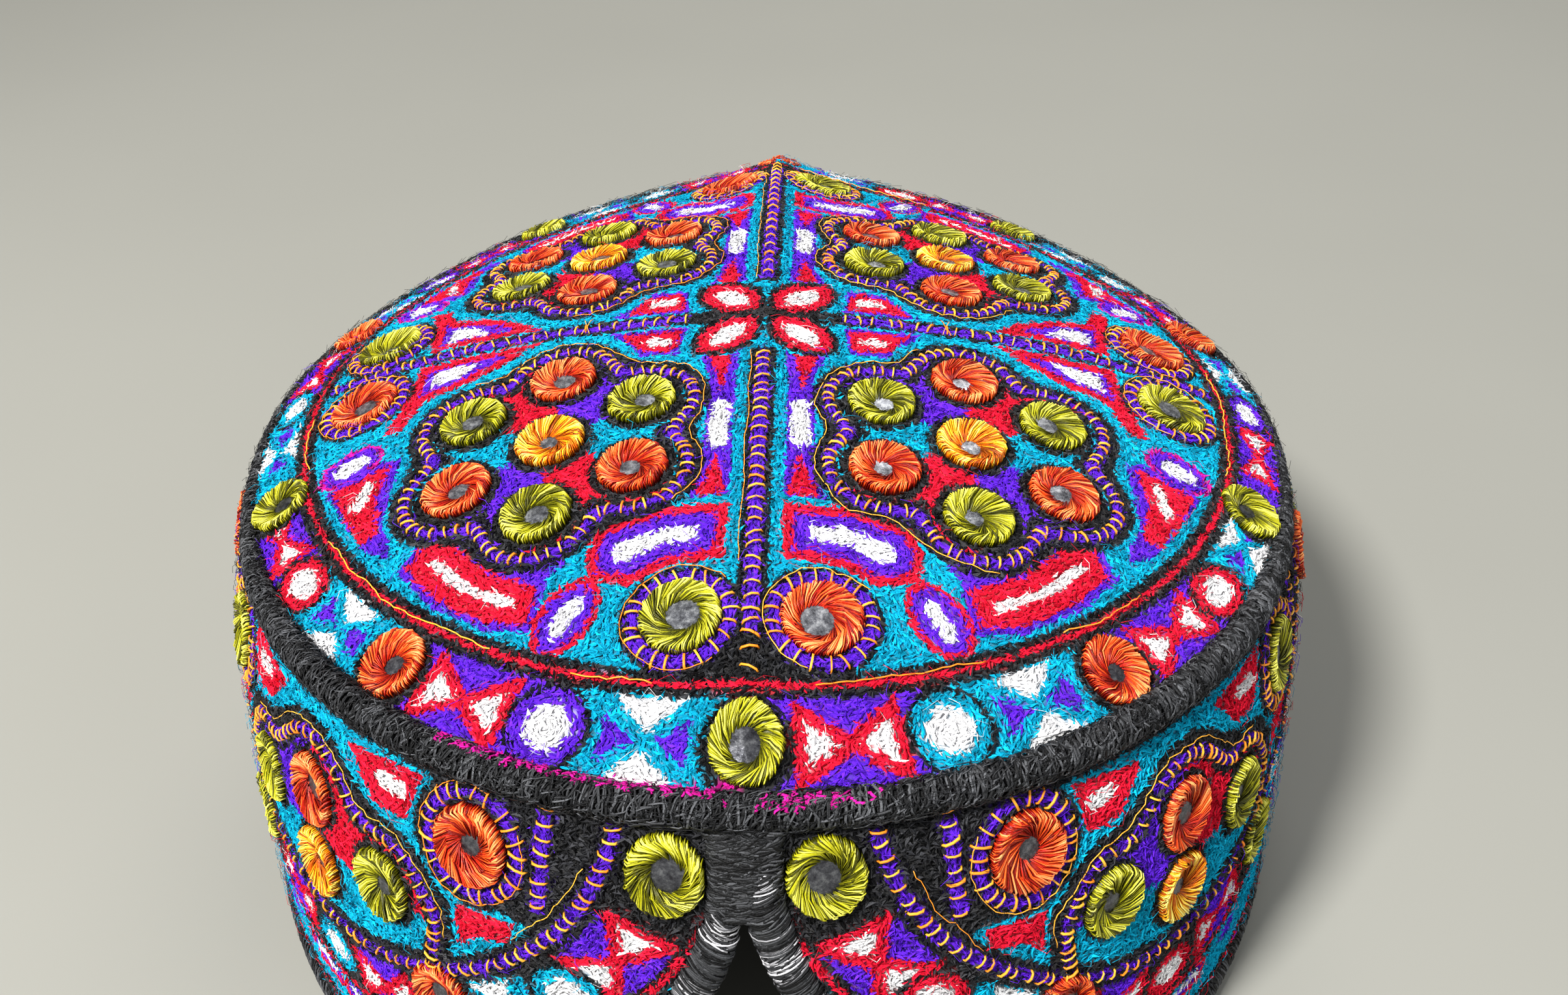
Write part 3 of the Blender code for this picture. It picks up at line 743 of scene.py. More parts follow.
def bandScallop(q):
    tall = bandWork["tall"]
    s = np.stack([q[:, 0], q[:, 1] / tall], -1)
    top, side = bandWork["clusterMirrors"][:2]
    lobes = [circleAt(s, (x, y / tall), bandWork["lobeRadius"]) for x, y in (top, side)]
    lobes += [np.maximum(q[:, 0] - bandWork["lobeSide"], side[1] / tall - s[:, 1]),
              circleAt(s, (0, side[1] / tall), bandWork["lobeMiddle"])]
    return softUnion(lobes, bandWork["lobeBlend"])


def bandPattern(p):
    folded, shifted = foldBand(p)
    y = p[:, 1]
    fromMiddle = folded - bandWork["swagMiddle"]
    q = np.stack([np.abs(fromMiddle), y], -1)
    rightSide = shifted > 0
    work = Embroidery(p, "teal")
    sewFigures(work, q, bandFigures)
    # short braid beside the ringed mirror
    work.sew(lineAt(q, [(41.4, -2), (40.2, 18.5)]) - 1.1, [(0, "violet")])
    # half cluster, kept inside the swag
    offset, place, total = alongLine(np.stack([fromMiddle, y], -1), swagLine())
    scallop = np.maximum(bandScallop(q), offset)
    work.sew(scallop - 1.4, bandRings["scallop"])
    mirrors = [ovalAt(q, place, bandWork["mirrorHalf"]) for place in bandWork["clusterMirrors"]]
    toMirror = np.min(mirrors, axis=0)
    near = fromMiddle < 0
    upper = np.where(near == rightSide, numberOf["violet"], numberOf["red"])
    fill = np.where(y < 29, upper, numberOf["teal"])
    work.sew(np.maximum(scallop + 2.9, 1.15 - toMirror), [(0, fill)])
    work.sew(toMirror, [(0, "bare")])
    around = ovalAt(q, bandWork["ringMirror"], bandWork["ringMirrorHalf"])
    work.sew(around - 0.5, bandRings["swagMirror"])
    # swag braid and the border outside it
    place = np.minimum(place, total - place)
    middle = bandWork["borderMiddle"]
    work.sew(np.maximum(1.5 - offset, offset - bandWork["borderEdge"]), [(0, "black")])
    for centre, warm in ((21.5, True), (40.6, False), (62.3, True)):
        sewCross(work, (place - centre) * 1.2, (offset - middle - 0.4) * 0.98, warm)
    for centre in (31.0, total / 2):
        dot = ovalAt(np.stack([(place - centre) * 1.2, offset - middle - 0.4], -1), (0, 0), (5.7, 5.5))
        ringColour = np.where(rightSide, numberOf["red"], numberOf["teal"])
        work.sew(dot, [(0, "black"), (-0.8, ringColour), (-2.7, "white")])
    for centre in bandWork["borderMirrors"]:
        work.sew(ovalAt(q, centre, (5.9, 7.1)), bandRings["mirror"])
    work.sew(np.abs(offset) - 2.3, bandRings["swag"])
    work.sew(np.abs(offset - bandWork["borderEdge"] - 0.4) - 1.3, bandRings["borderLine"])
    # beyond the borders
    side = bandWork["quarter"] - folded
    beyond = offset > bandWork["borderEdge"] + 2.2
    toBack = np.where(np.abs(shifted) > bandWork["backFrom"], folded, 1e3)
    high, low = bandWork["betweenMirrors"]
    for across, figures, mirrors in ((side, betweenSwags, (high, low)), (toBack, betweenSwags, (low,)),
                                     (q[:, 0], underSwag, ())):
        other = Embroidery(p, "teal")
        s = np.stack([np.abs(across), y], -1)
        sewFigures(other, s, figures)
        for mirrorY in mirrors:
            other.sew(ovalAt(s, (0, mirrorY), bandWork["ringMirrorHalf"]), bandRings["mirrorBetween"])
        use = beyond & other.inFigure
        work.thread = np.where(use, other.thread, work.thread)
        work.depth = np.where(use, other.depth, work.depth)
        work.inFigure |= use
    turn = p[:, 0] / patternRadius
    fromRim = seamHeight(turn) - bandDrop(y) - capForm["rimHeight"]
    work.sew(fromRim - 4.2, bandRings["hem"])
    work.sew(y - 3.8, [(0, "black")])
    return work


def slopeOf(pattern, p, step=0.08):
    # which way the depth grows, and how fast
    gx = pattern(p + [step, 0]).depth - pattern(p - [step, 0]).depth
    gy = pattern(p + [0, step]).depth - pattern(p - [0, step]).depth
    return np.stack([gx, gy], -1) / (2 * step)


# Base cloth under the stitches

clothWork = {"crownCells": 116, "bandCells": (392, 48), "below": 0.35, "crownThickness": 1.9,
             "bandThickness": 2.1, "dyeScale": 0.8, "bare": (0.01, 0.01, 0.012)}


def dyeCloth(piece, work):
    # the cloth takes each thread's dye, scaled darker
    dyes = [tuple(c * clothWork["dyeScale"] for c in threadDyes[name]) for name in threadNames]
    table = np.array(dyes + [clothWork["bare"]])
    colours = np.concatenate([table[work.thread], np.ones((len(work.thread), 1))], 1)
    piece.data.attributes.new("dye", "FLOAT_COLOR", "POINT").data.foreach_set("color", colours.ravel())


def thicken(piece, thickness):
    wall = piece.modifiers.new("wall", "SOLIDIFY")
    wall.thickness, wall.offset = thickness * 0.001, -1
    wall.material_offset, wall.material_offset_rim = 1, 0
    bpy.context.view_layer.objects.active = piece
    bpy.ops.object.modifier_apply(modifier="wall")


def gridPiece(name, cells, form, pattern):
    # a square grid laid on the cap's form; form gives pattern places from grid places
    deselectAll()
    bpy.ops.mesh.primitive_grid_add(x_subdivisions=cells[0], y_subdivisions=cells[1], size=2)
    piece = bpy.context.object
    piece.name = name
    grid = np.array([v.co[:2] for v in piece.data.vertices])
    places, points = form(grid)
    piece.data.vertices.foreach_set("co", (points * 0.001).ravel())
    piece.data.materials.append(materials["ground"])
    piece.data.materials.append(materials["lining"])
    dyeCloth(piece, pattern(places))
    piece.data.shade_smooth()
    return piece


def crownForm(grid):
    x, y = grid[:, 0] * np.sqrt(1 - grid[:, 1] ** 2 / 2), grid[:, 1] * np.sqrt(1 - grid[:, 0] ** 2 / 2)
    turn = np.arctan2(x, -y)
    places = np.stack([x, y], -1) * edgeRadius(turn, 0.6, 0.5)[:, None]
    return places, crownAt(places, -clothWork["below"])[0]


def bandForm(grid):
    share = (1 - grid[:, 1]) / 2
    # rows run level with the seam at the top and with the rim at the bottom
    wayRound = (grid[:, 0] + 1) / 2
    low = capForm["rimHeight"] + 0.1
    turn = wayRound * math.tau
    for _ in range(4):
        top = seamHeight(turn) - 1.0
        height = top + (low - top) * share
        start = (notchOuter(height) - 0.1) / frontRadius
        turn = start + (math.tau - 2 * start) * wayRound
    drop = seamHeight(turn) - height
    arc = ((turn + math.pi) % math.tau - math.pi) * patternRadius
    places = np.stack([arc, drop + tucked(drop)], -1)
    return places, bandAt(places, -clothWork["below"])[0]


crownCloth = gridPiece("crown_cloth", (clothWork["crownCells"],) * 2, crownForm, crownPattern)
thicken(crownCloth, clothWork["crownThickness"])
dress(crownCloth, "embroidered_cloth", "crown_panel")
bandCloth = gridPiece("band_cloth", clothWork["bandCells"], bandForm, bandPattern)
thicken(bandCloth, clothWork["bandThickness"])
dress(bandCloth, "embroidered_cloth", "side_band")
print("cloth laid out")

# Rows of stitches

stitchWork = {"row": 0.62, "spacing": 0.56, "ragged": 0.11, "ridge": 1.24}
# length, width, height, lift and scatter of a thread's wisps, in millimetres and radians
wispForms = {"black": (1.4, 0.46, 0.62, 0.30, 0.9), "teal": (1.6, 0.50, 0.50, 0.12, 0.62),
             "red": (1.6, 0.50, 0.50, 0.16, 0.6), "violet": (1.55, 0.50, 0.50, 0.14, 0.6),
             "white": (1.7, 0.52, 0.45, 0.10, 0.45), "magenta": (1.6, 0.50, 0.50, 0.14, 0.6)}


def turned(directions, angles):
    c, s = np.cos(angles), np.sin(angles)
    x, y = directions[:, 0], directions[:, 1]
    return np.stack([x * c - y * s, x * s + y * c], -1)


def sewRows(name, surface, pattern, places, keep):
    work = pattern(places)
    slope = slopeOf(pattern, places)
    steep = np.sum(slope ** 2, -1)
    row = stitchWork["row"]
    goal = (np.floor(work.depth / row) + 0.5) * row
    move = np.where((steep > 0.6) & (steep < 1.5), 0.7 * (goal - work.depth) / np.maximum(steep, 0.6), 0)
    placed = places + slope * move[:, None] + rng.normal(0, stitchWork["ragged"], places.shape)
    ok = keep(placed) & (work.thread >= 0)
    placed, slope, thread = placed[ok], slope[ok], work.thread[ok]
    form = np.array([wispForms[threadName] for threadName in threadNames])[thread]
    along = unit(leftOf(slope) + 1e-6)
    along = turned(along, rng.normal(0, 1, len(placed)) * form[:, 4])
    placed = placed + along * rng.uniform(-0.25, 0.25, len(placed))[:, None]
    crest = np.cos(math.tau * work.depth[ok] / stitchWork["ridge"])
    lift = rng.normal(0, 0.1, len(placed)) + form[:, 3] + 0.1 * crest
    centres, normals = surface(placed, lift)
    ahead = surface(placed + along * 0.3, lift)[0] - centres
    sizes = form[:, :3] * rng.uniform(0.8, 1.25, (len(placed), 3))
    lying = unit(unit(ahead) + normals * rng.normal(0, 0.17, len(placed))[:, None])
    normals = unit(normals + rng.normal(0, 0.25, normals.shape))
    # wisps in the grooves between rows are darker and those on the crests lighter: painted shade
    shades = np.clip(rng.normal(0.48, 0.3, len(placed)) + 0.2 * crest, 0, 1)
    made = {}
    for index, threadName in enumerate(threadNames):
        chosen = thread == index
        if not chosen.any():
            continue
        points, faces = stitches(centres[chosen], lying[chosen], normals[chosen], sizes[chosen])
        shade = np.repeat(shades[chosen], len(stitchPoints))
        piece = meshPiece(f"{name}_{threadName}_wool", points, [faces], materials[threadName], shade, False)
        dress(piece, "black_thread" if threadName == "black" else "embroidered_cloth")
        made[threadName] = int(chosen.sum())
    print(name, "wisps", made)


def scattered(width, height, centre=(0.0, 0.0)):
    step = stitchWork["spacing"]
    rows = np.arange(-height / 2, height / 2, step * 0.866)
    columns = np.arange(-width / 2, width / 2, step)
    x, y = np.meshgrid(columns, rows)
    x = x + (np.arange(len(rows)) % 2)[:, None] * step / 2
    places = np.stack([x.ravel() + centre[0], y.ravel() + centre[1]], -1)
    return places + rng.uniform(-0.3, 0.3, places.shape) * step


def onCrown(p):
    turn = np.arctan2(p[:, 0], -p[:, 1])
    return np.hypot(p[:, 0], p[:, 1]) < edgeRadius(turn, 1.3, 1.1)


def onBand(p):
    turn = p[:, 0] / patternRadius
    height = seamHeight(turn) - bandDrop(p[:, 1])
    besideNotch = np.abs(turn) * frontRadius > notchOuter(height) + 0.3
    return (height > capForm["rimHeight"] + 0.5) & besideNotch


crownPlaces = scattered(184, 184)
crownPlaces = crownPlaces[onCrown(crownPlaces)]
sewRows("crown", crownAt, crownPattern, crownPlaces, onCrown)
bandPlaces = scattered(bandWork["round"], 76.5, (0, 39.5))
bandPlaces = bandPlaces[onBand(bandPlaces)]
frontPlaces = np.abs(bandPlaces[:, 0]) < bandWork["quarter"]
sewRows("band_front", bandAt, bandPattern, bandPlaces[frontPlaces], onBand)
sewRows("band_back", bandAt, bandPattern, bandPlaces[~frontPlaces], onBand)

# Mirrors in their rings of silk floss

mirrorWork = {"strands": 150, "thread": 0.105, "height": 1.45, "hole": (0.27, 0.36), "wideHole": 0.42,
              "swirl": 1.0, "padCorners": 20, "glassCorners": 14, "glassLift": 0.22}
crownMirrors, bandMirrors = [], []  # colour, place, half-axes and the nodes they stand for


def placeMirrors():
    for sideX, across in ((-1, "right"), (1, "left")):
        for sideY, along in ((-1, "front"), (1, "back")):
            centre = (sideX * crownWork["clusterCentre"][0], sideY * crownWork["clusterCentre"][1])
            half = (crownWork["flossRadius"],) * 2
            crownMirrors.append(("yellow", centre, half, f"mirror_{along}_{across}_middle"))
            for number, place in enumerate(hexPlaces(centre, crownWork["clusterRadius"])):
                colour = ("orange", "green")[(number + (sideY > 0)) % 2]
                crownMirrors.append((colour, place, half, f"mirror_{along}_{across}_{number + 1}"))
            colours = ("green", "orange") if sideX == sideY else ("orange", "green")
            half = (crownWork["pairFloss"],) * 2
            for word, colour, (x, y) in zip(("end", "side"), colours, crownWork["pairs"]):
                place = (sideX * x, sideY * y)
                crownMirrors.append((colour, place, half, f"{word}_mirror_{along}_{across}"))
    for number in range(crownWork["borderMirrors"]):
        turn = borderTurn(number)
        reach = float(planRadius(turn)) - crownWork["borderInset"]
        reach += crownWork["sideSpread"] * math.sin(turn) ** 2
        reach += crownWork["backSpread"] if number == 5 else 0
        place = (reach * math.sin(turn), -reach * math.cos(turn))
        half = crownWork["borderHalf" if number else "frontHalf"]
        crownMirrors.append((("green", "orange")[number % 2], place, half, None))
    half, ringed = bandWork["mirrorHalf"], bandWork["ringedHalf"]
    middle, (ringX, ringY) = bandWork["swagMiddle"], bandWork["ringMirror"]
    (frontX, frontY), (lowX, lowY) = bandWork["borderMirrors"]
    high, low = bandWork["betweenMirrors"]
    for side, word in ((-1, "right"), (1, "left")):
        for back in (False, True):
            def put(colour, x, y, node=None, size=half):
                place = unfolded(np.array([[x, y]]), side, back)[0]
                bandMirrors.append((colour, tuple(place), size, None if back else node))

            put("orange", middle - ringX, ringY, f"swag_mirror_{word}", ringed)
            put("green", middle + ringX, ringY, None, ringed)
            for x, y in bandWork["clusterMirrors"]:
                colour = "green" if x else ("yellow" if y > 30 else "orange")
                put(colour, middle + x, y)
                if x:
                    put(colour, middle - x, y)
            put("green", middle - frontX, frontY, f"notch_mirror_{word}")
            put("orange", middle + frontX, frontY)
            put("orange", middle - lowX, lowY)
            put("green", middle + lowX, lowY)
        put("green", bandWork["quarter"], high, None, ringed)
        put("orange", bandWork["quarter"], low, None, ringed)
    bandMirrors.append(("orange", (bandWork["halfRound"], low), ringed, None))


def unfolded(places, side, back):
    # places of the front left swag's pattern on the side and half of the band that are asked for
    wanted = side * (2 * bandWork["quarter"] - places[:, 0] if back else places[:, 0])
    arc = wanted.copy()
    for _ in range(6):
        arc = wanted - sideShift(arc)
    return np.stack([arc, places[:, 1]], -1)


def flossRing(surface, centre, half, tone):
    # swirled strands over a pad of painted shade, from the outer edge in and down to the glass
    wide = abs(centre[0]) < 12 and half[1] > 5.45
    count = mirrorWork["strands"]
    hole = mirrorWork["wideHole"] if wide else rng.uniform(*mirrorWork["hole"])
    centre, half = np.array(centre), np.array(half)
    shift = rng.normal(0, 0.09, 2)
    high = mirrorWork["height"] * rng.uniform(0.85, 1.1) * (0.35 if centre[1] > 75 else 1)
    start = rng.uniform(0, math.tau)

    def place(reach, angle, lift):
        flat = np.stack([np.cos(angle), np.sin(angle)], -1) * reach[..., None] + shift * (1 - reach)[..., None]
        return surface(centre + flat * half, lift)

    reach = np.array([1.0, 0.98, 0.91, 0.64, hole])
    rise = np.array([-0.1, 0.7, 1.0, 0.48, 0.1]) * high
    turn = start + math.tau * (np.arange(count) + rng.uniform(-0.6, 0.6, count)) / count
    swirl = mirrorWork["swirl"] + 0.45 * np.cos(turn - start) + rng.normal(0, 0.16, count)
    angle = turn[:, None] + swirl[:, None] * (np.maximum(1 - reach, 0) / (1 - hole))[None] ** 1.3
    spread = reach[None] * (1 + rng.normal(0, 0.018, (count, 1)) * (reach > 0.9))
    spread = spread + rng.normal(0, 0.012, (count, 5))
    lift = rise[None] + rng.normal(0, 0.12, (count, 1)) + rng.normal(0, 0.05, (count, 5)) * (rise > 0)
    paths, ups = place(spread, angle, lift)
    thick = mirrorWork["thread"] * rng.uniform(0.7, 1.35, (count, 1)) * [0.8, 1.1, 1.25, 1.1, 0.8]
    # bunches vary in tone at random; the cosine term lightens one side of each ring, a side drawn at random,
    # as painted sheen
    bunch = np.sin(turn * rng.integers(7, 12) + start) * 0.16 + 0.14 * np.cos(turn - start + 2)
    # along each strand the tone is highest on the raised rim and lowest at the glass and the outer edge:
    # painted highlight and painted funnel shade
    shade = (0.5 + bunch + rng.normal(0, 0.25, count))[:, None] * [0.6, 1.0, 1.2, 0.85, 0.4]
    strands = threadsPart(paths, ups, thick, 3, np.clip(shade, 0.1, 1))
    corners, inner = mirrorWork["padCorners"], hole + 0.06
    around = math.tau * np.arange(corners) / corners
    rings = [(0.99, -0.3), (0.96, 0.5 * high), (0.89, 0.8 * high), (0.64, 0.3 * high), (inner, 0.0),
             (inner, -0.3)]
    pad = np.concatenate([place(np.full(corners, r), around, np.full(corners, z))[0] for r, z in rings])
    ring, side = np.meshgrid(np.arange(len(rings)), np.arange(corners), indexing="ij")
    nextRing, nextSide = (ring + 1) % len(rings), (side + 1) % corners
    faces = np.stack([ring * corners + side, ring * corners + nextSide, nextRing * corners + nextSide,
                      nextRing * corners + side], -1).reshape(-1, 4)
    edge = mirrorWork["glassCorners"]
    around = math.tau * np.arange(edge) / edge
    tilt = 0.12 * np.cos(around + start)
    rim = place(np.full(edge, hole + 0.1), around, 0.12 + tilt)[0]
    top, under = (place(np.zeros(1), np.zeros(1), np.array([z]))[0] for z in (mirrorWork["glassLift"], -0.1))
    number = np.arange(edge)
    after = (number + 1) % edge
    glassFaces = np.concatenate([np.stack([number, after, np.full(edge, edge)], -1),
                                 np.stack([after, number, np.full(edge, edge + 1)], -1)])
    # the glass's shade is its painted reflection tone
    glass = (np.concatenate([rim, top, under]), [glassFaces], np.full(edge + 2, tone))
    # the pad's tone of 0.14 paints the dark shade seen in the gaps between strands
    return [strands, (pad, [faces], np.full(len(pad), 0.14))], glass


placeMirrors()
glasses = []
for where, surface, mirrors in (("crown", crownAt, crownMirrors), ("band", bandAt, bandMirrors)):
    for colour in flossDyes:
        rings, nodes = [], []
        for mirrorColour, place, half, node in mirrors:
            if mirrorColour != colour:
                continue
            # crown cluster and pair mirrors get light glass and the others dark glass: painted reflection
            parts, glass = flossRing(surface, place, half, 0.9 if node and where == "crown" else 0.3)
            rings += parts
            glasses.append(glass)
            if node:
                nodes.append(node)
        makePiece(f"{where}_{colour}_floss", rings, "floss " + colour, "floss_" + colour, *nodes)
makePiece("mirror_glass", glasses, "mirror", "floss_green", smooth=False)
print("mirrors", len(crownMirrors), len(bandMirrors))

# Golden thread: short stitches across the violet braids, and a line laid along some of them

goldWork = {"stitch": 0.18, "line": 0.075, "rise": 0.72, "pairRing": (6.7, 6.7), "pairEdge": (7.9, 7.9),
            "ring": (6.8, 8.1), "ringEdge": (7.8, 9.3), "scallop": (-1.5, 0.35)}
goldParts = []


def paces(line, spacing, scatter):
    # places along a line, one spacing apart, and the way ahead there
    steps = np.linalg.norm(np.diff(line, axis=0), axis=1)
    gone = np.concatenate([[0], np.cumsum(steps)])
    wanted = np.arange(spacing / 2, gone[-1], spacing)
    wanted = wanted + rng.uniform(-scatter, scatter, len(wanted)) * spacing
    at = lambda where: np.stack([np.interp(where, gone, line[:, k]) for k in range(2)], -1)
    return at(wanted), unit(at(wanted + 0.3) - at(wanted - 0.3))


def stitchAcross(surface, line, spacing, half, scatter, lean=0.25, thread=None):
    at, ahead = paces(np.asarray(line, float), spacing, scatter)
    across = leftOf(ahead)
    shares = np.array([-1.0, -0.72, 0.0, 0.72, 1.0])
    lifts = np.array([-0.1, 0.75, 1.0, 0.75, -0.1]) * goldWork["rise"]
    skew = rng.normal(0, lean, len(at))[:, None, None] * shares[None, :, None]
    reach = half * rng.uniform(0.85, 1.15, (len(at), 1, 1)) * shares[None, :, None]
    places = at[:, None] + across[:, None] * reach + ahead[:, None] * skew
    paths, ups = surface(places, np.broadcast_to(lifts, places.shape[:2]) + 0.1)
    thick = (thread or goldWork["stitch"]) * rng.uniform(0.8, 1.2, (len(at), 1))
    goldParts.append(threadsPart(paths, ups, thick, 4))


def threadAlong(surface, line, thick=None, lift=0.55, wobble=0.12):
    at, ahead = paces(np.asarray(line, float), 1.0, 0.0)
    across = leftOf(ahead)
    wave = np.convolve(rng.normal(0, 1, len(at) + 4), np.ones(5) / 5, "valid") * wobble * 2
    rise = lift + 0.15 * np.sin(np.arange(len(at)) * 2.1)
    paths, ups = surface(at + across * wave[:, None], rise)
    goldParts.append(threadsPart(paths[None], ups[None], goldWork["line"] if thick is None else thick, 4))


def contour(distance, centre, angles, level, limit):
    # the line on which a figure's distance has this level, seen from its centre
    near, far = np.zeros(len(angles)), np.full(len(angles), float(limit))
    ray = np.stack([np.cos(angles), np.sin(angles)], -1)
    for _ in range(22):
        middle = (near + far) / 2
        inside = distance(np.asarray(centre) + ray * middle[:, None]) < level
        near, far = np.where(inside, middle, near), np.where(inside, far, middle)
    return np.asarray(centre) + ray * near[:, None]


def ovalLine(centre, half, start=0.0, end=360.0):
    angles = np.radians(np.arange(start, end + 1, 6.0))
    return np.asarray(centre) + np.stack([np.cos(angles) * half[0], np.sin(angles) * half[1]], -1)


allRound = np.radians(np.arange(0, 361, 3.0))
middle, edge = goldWork["scallop"]
middleOfBraid = contour(crownScallop, crownWork["clusterCentre"], allRound, middle, 34)
edgeOfScallop = contour(crownScallop, crownWork["clusterCentre"], allRound, edge, 36)
for sideX in (-1, 1):
    for sideY in (-1, 1):
        sides = np.array([sideX, sideY])
        stitchAcross(crownAt, middleOfBraid * sides, 1.8, 0.95, 0.25)
        first = rng.integers(0, 50)
        threadAlong(crownAt, (edgeOfScallop * sides)[first:first + 58], wobble=0.3)
        for place in crownWork["pairs"]:
            centre = np.array(place) * sides
            stitchAcross(crownAt, ovalLine(centre, goldWork["pairRing"]), 2.1, 1.1, 0.2)
            ends = rng.uniform(0, 90), rng.uniform(240, 360)
            threadAlong(crownAt, ovalLine(centre, goldWork["pairEdge"], *ends), wobble=0.2)
stitchAcross(crownAt, [(0, -11.5), (0, -75)], 2.1, 1.1, 0.2)
stitchAcross(crownAt, [(0, 11.5), (0, 74)], 3.5, 0.85, 0.1, 0.1, 0.2)
threadAlong(crownAt, [(-1.75, -11), (-1.9, -58)], wobble=0.15)
threadAlong(crownAt, [(-1.8, 11), (-1.8, 70)], wobble=0.15)
for side in (-1, 1):
    stitchAcross(crownAt, [(side * 12, 0), (side * 74, 0)], 2.3, 0.95, 0.2)
    for lean in (-1, 1):
        line = [(side * 29.4 - 0.8 * lean, -2.8), (side * 29.4 + 0.8 * lean, 2.8)]
        threadAlong(crownAt, line, lift=0.8, wobble=0.05)
ringLine = np.stack([np.sin(allRound), -np.cos(allRound)], -1) * (crownWork["ringRadius"] - 0.1)
for start, end in ((2, 9), (11, 16), (24, 33), (52, 60), (92, 97), (101, 112), (114, 118)):
    threadAlong(crownAt, ringLine[start:end], 0.11, 0.75, 0.25)

swag = swagLine()
lobes = np.radians(np.arange(-206, 27, 3.0))
bothSides = lambda p: bandScallop(np.stack([np.abs(p[:, 0]), p[:, 1]], -1))
bandBraid, bandEdge = (contour(bothSides, (0, 27.0), lobes, level, limit)
                       for level, limit in ((middle, 34), (edge, 36)))
toMiddle = np.array([bandWork["swagMiddle"], 0.0])
for side in (-1, 1):
    for back in (False, True):
        onSwag = lambda line: unfolded(np.asarray(line, float) + toMiddle, side, back)
        stitchAcross(bandAt, onSwag(swag), 2.3, 1.0, 0.2)
        outside = swag + unit(np.gradient(swag, axis=0))[:, ::-1] * [1.0, -1.0] * 2.3
        threadAlong(bandAt, onSwag(outside[6:17]), wobble=0.3)
        stitchAcross(bandAt, onSwag(bandBraid), 1.9, 1.0, 0.25)
        threadAlong(bandAt, onSwag(bandEdge[6:60]), wobble=0.3)
        for flip in (-1, 1):
            ring = np.array(bandWork["ringMirror"]) * [flip, 1]
            stitchAcross(bandAt, onSwag(ovalLine(ring, goldWork["ring"])), 2.1, 1.3, 0.22)
            edgeLine = ovalLine(ring, goldWork["ringEdge"], rng.uniform(-120, 0), 215)
            threadAlong(bandAt, onSwag(edgeLine), wobble=0.2)
            stitchAcross(bandAt, onSwag([(41.4 * flip, 1.5), (40.2 * flip, 18.5)]), 2.2, 1.1, 0.2)
    for y in bandWork["betweenMirrors"]:
        centre = unfolded(np.array([[bandWork["quarter"], y]]), side, False)[0]
        stitchAcross(bandAt, ovalLine(centre, goldWork["ring"]), 2.1, 1.3, 0.2)
backMirror = (bandWork["halfRound"], bandWork["betweenMirrors"][1])
stitchAcross(bandAt, ovalLine(backMirror, goldWork["ring"]), 2.1, 1.3, 0.2)
makePiece("golden_thread", goldParts, "gold", "floss_yellow")
print("golden stitches", len(goldParts))

# Seam roll: a padded core oversewn with black wool

rollWork = {"long": 2.05, "short": 2.1, "tilt": 48.0, "out": (0.2, -0.2), "rise": (0.15, -1.35),
            "sideShare": 0.6, "stitches": 1150, "fibres": 2, "slant": 2.2, "thread": 0.18, "loose": 5200,
            "magenta": (100, 30), "sideFrom": 38, "sideSpan": 45}


def rollAt(turn, angle, lift=0.0):
    # angle 0 points down and outwards, 90 degrees straight out of the corner
    fromFront = np.abs((turn + np.pi) % math.tau - np.pi)
    start, span = math.radians(rollWork["sideFrom"]), math.radians(rollWork["sideSpan"])
    aside = smoothly((fromFront - start) / span)
    size = 1 - (1 - rollWork["sideShare"]) * aside
    tilt = math.radians(rollWork["tilt"])
    longWay = (rollWork["long"] * size + lift) * np.cos(angle)
    shortWay = (rollWork["short"] * size + lift) * np.sin(angle)
    out = longWay * math.cos(tilt) + shortWay * math.sin(tilt)
    up = -longWay * math.sin(tilt) + shortWay * math.cos(tilt)
    rise, shift = (rollWork[key][0] * (1 - aside) + rollWork[key][1] * aside for key in ("rise", "out"))
    return roundAt(turn, planRadius(turn) + shift + out, seamHeight(turn) + rise + up)


deselectAll()
bpy.ops.mesh.primitive_torus_add(major_segments=240, minor_segments=16, major_radius=10, minor_radius=1)
rollCore = bpy.context.object
rollCore.name = "roll_core"
places = np.array([v.co for v in rollCore.data.vertices])
turns = np.arctan2(places[:, 0], -places[:, 1])
angles = np.arctan2(places[:, 2], np.hypot(places[:, 0], places[:, 1]) - 10)
rollCore.data.vertices.foreach_set("co", (rollAt(turns, angles, -0.15) * 0.001).ravel())
rollCore.data.attributes.new("shade", "FLOAT", "POINT")
rollCore.data.materials.append(materials["black"])
rollCore.data.shade_smooth()
dress(rollCore, "black_thread", "seam_roll")


def rollStrands(turns, slants, low, high, lifts, thick, shade, steps=7):
    share = np.linspace(0, 1, steps)[None]
    angle = np.radians(low[:, None] + (high - low)[:, None] * share)
    turn = turns[:, None] + slants[:, None] * (share - 0.5) / capForm["radius"]
    lift = lifts[:, None] * np.sin(np.pi * np.clip(share, 0.04, 0.96)) ** 0.5
    wave = rng.normal(0, 0.28, turn.shape) / capForm["radius"]
    paths = rollAt(turn + wave, angle, lift + rng.normal(0, 0.05, turn.shape))
    ups = paths - rollAt(turn, angle, lift - 1)
    return threadsPart(paths, unit(ups), thick, 3, shade)


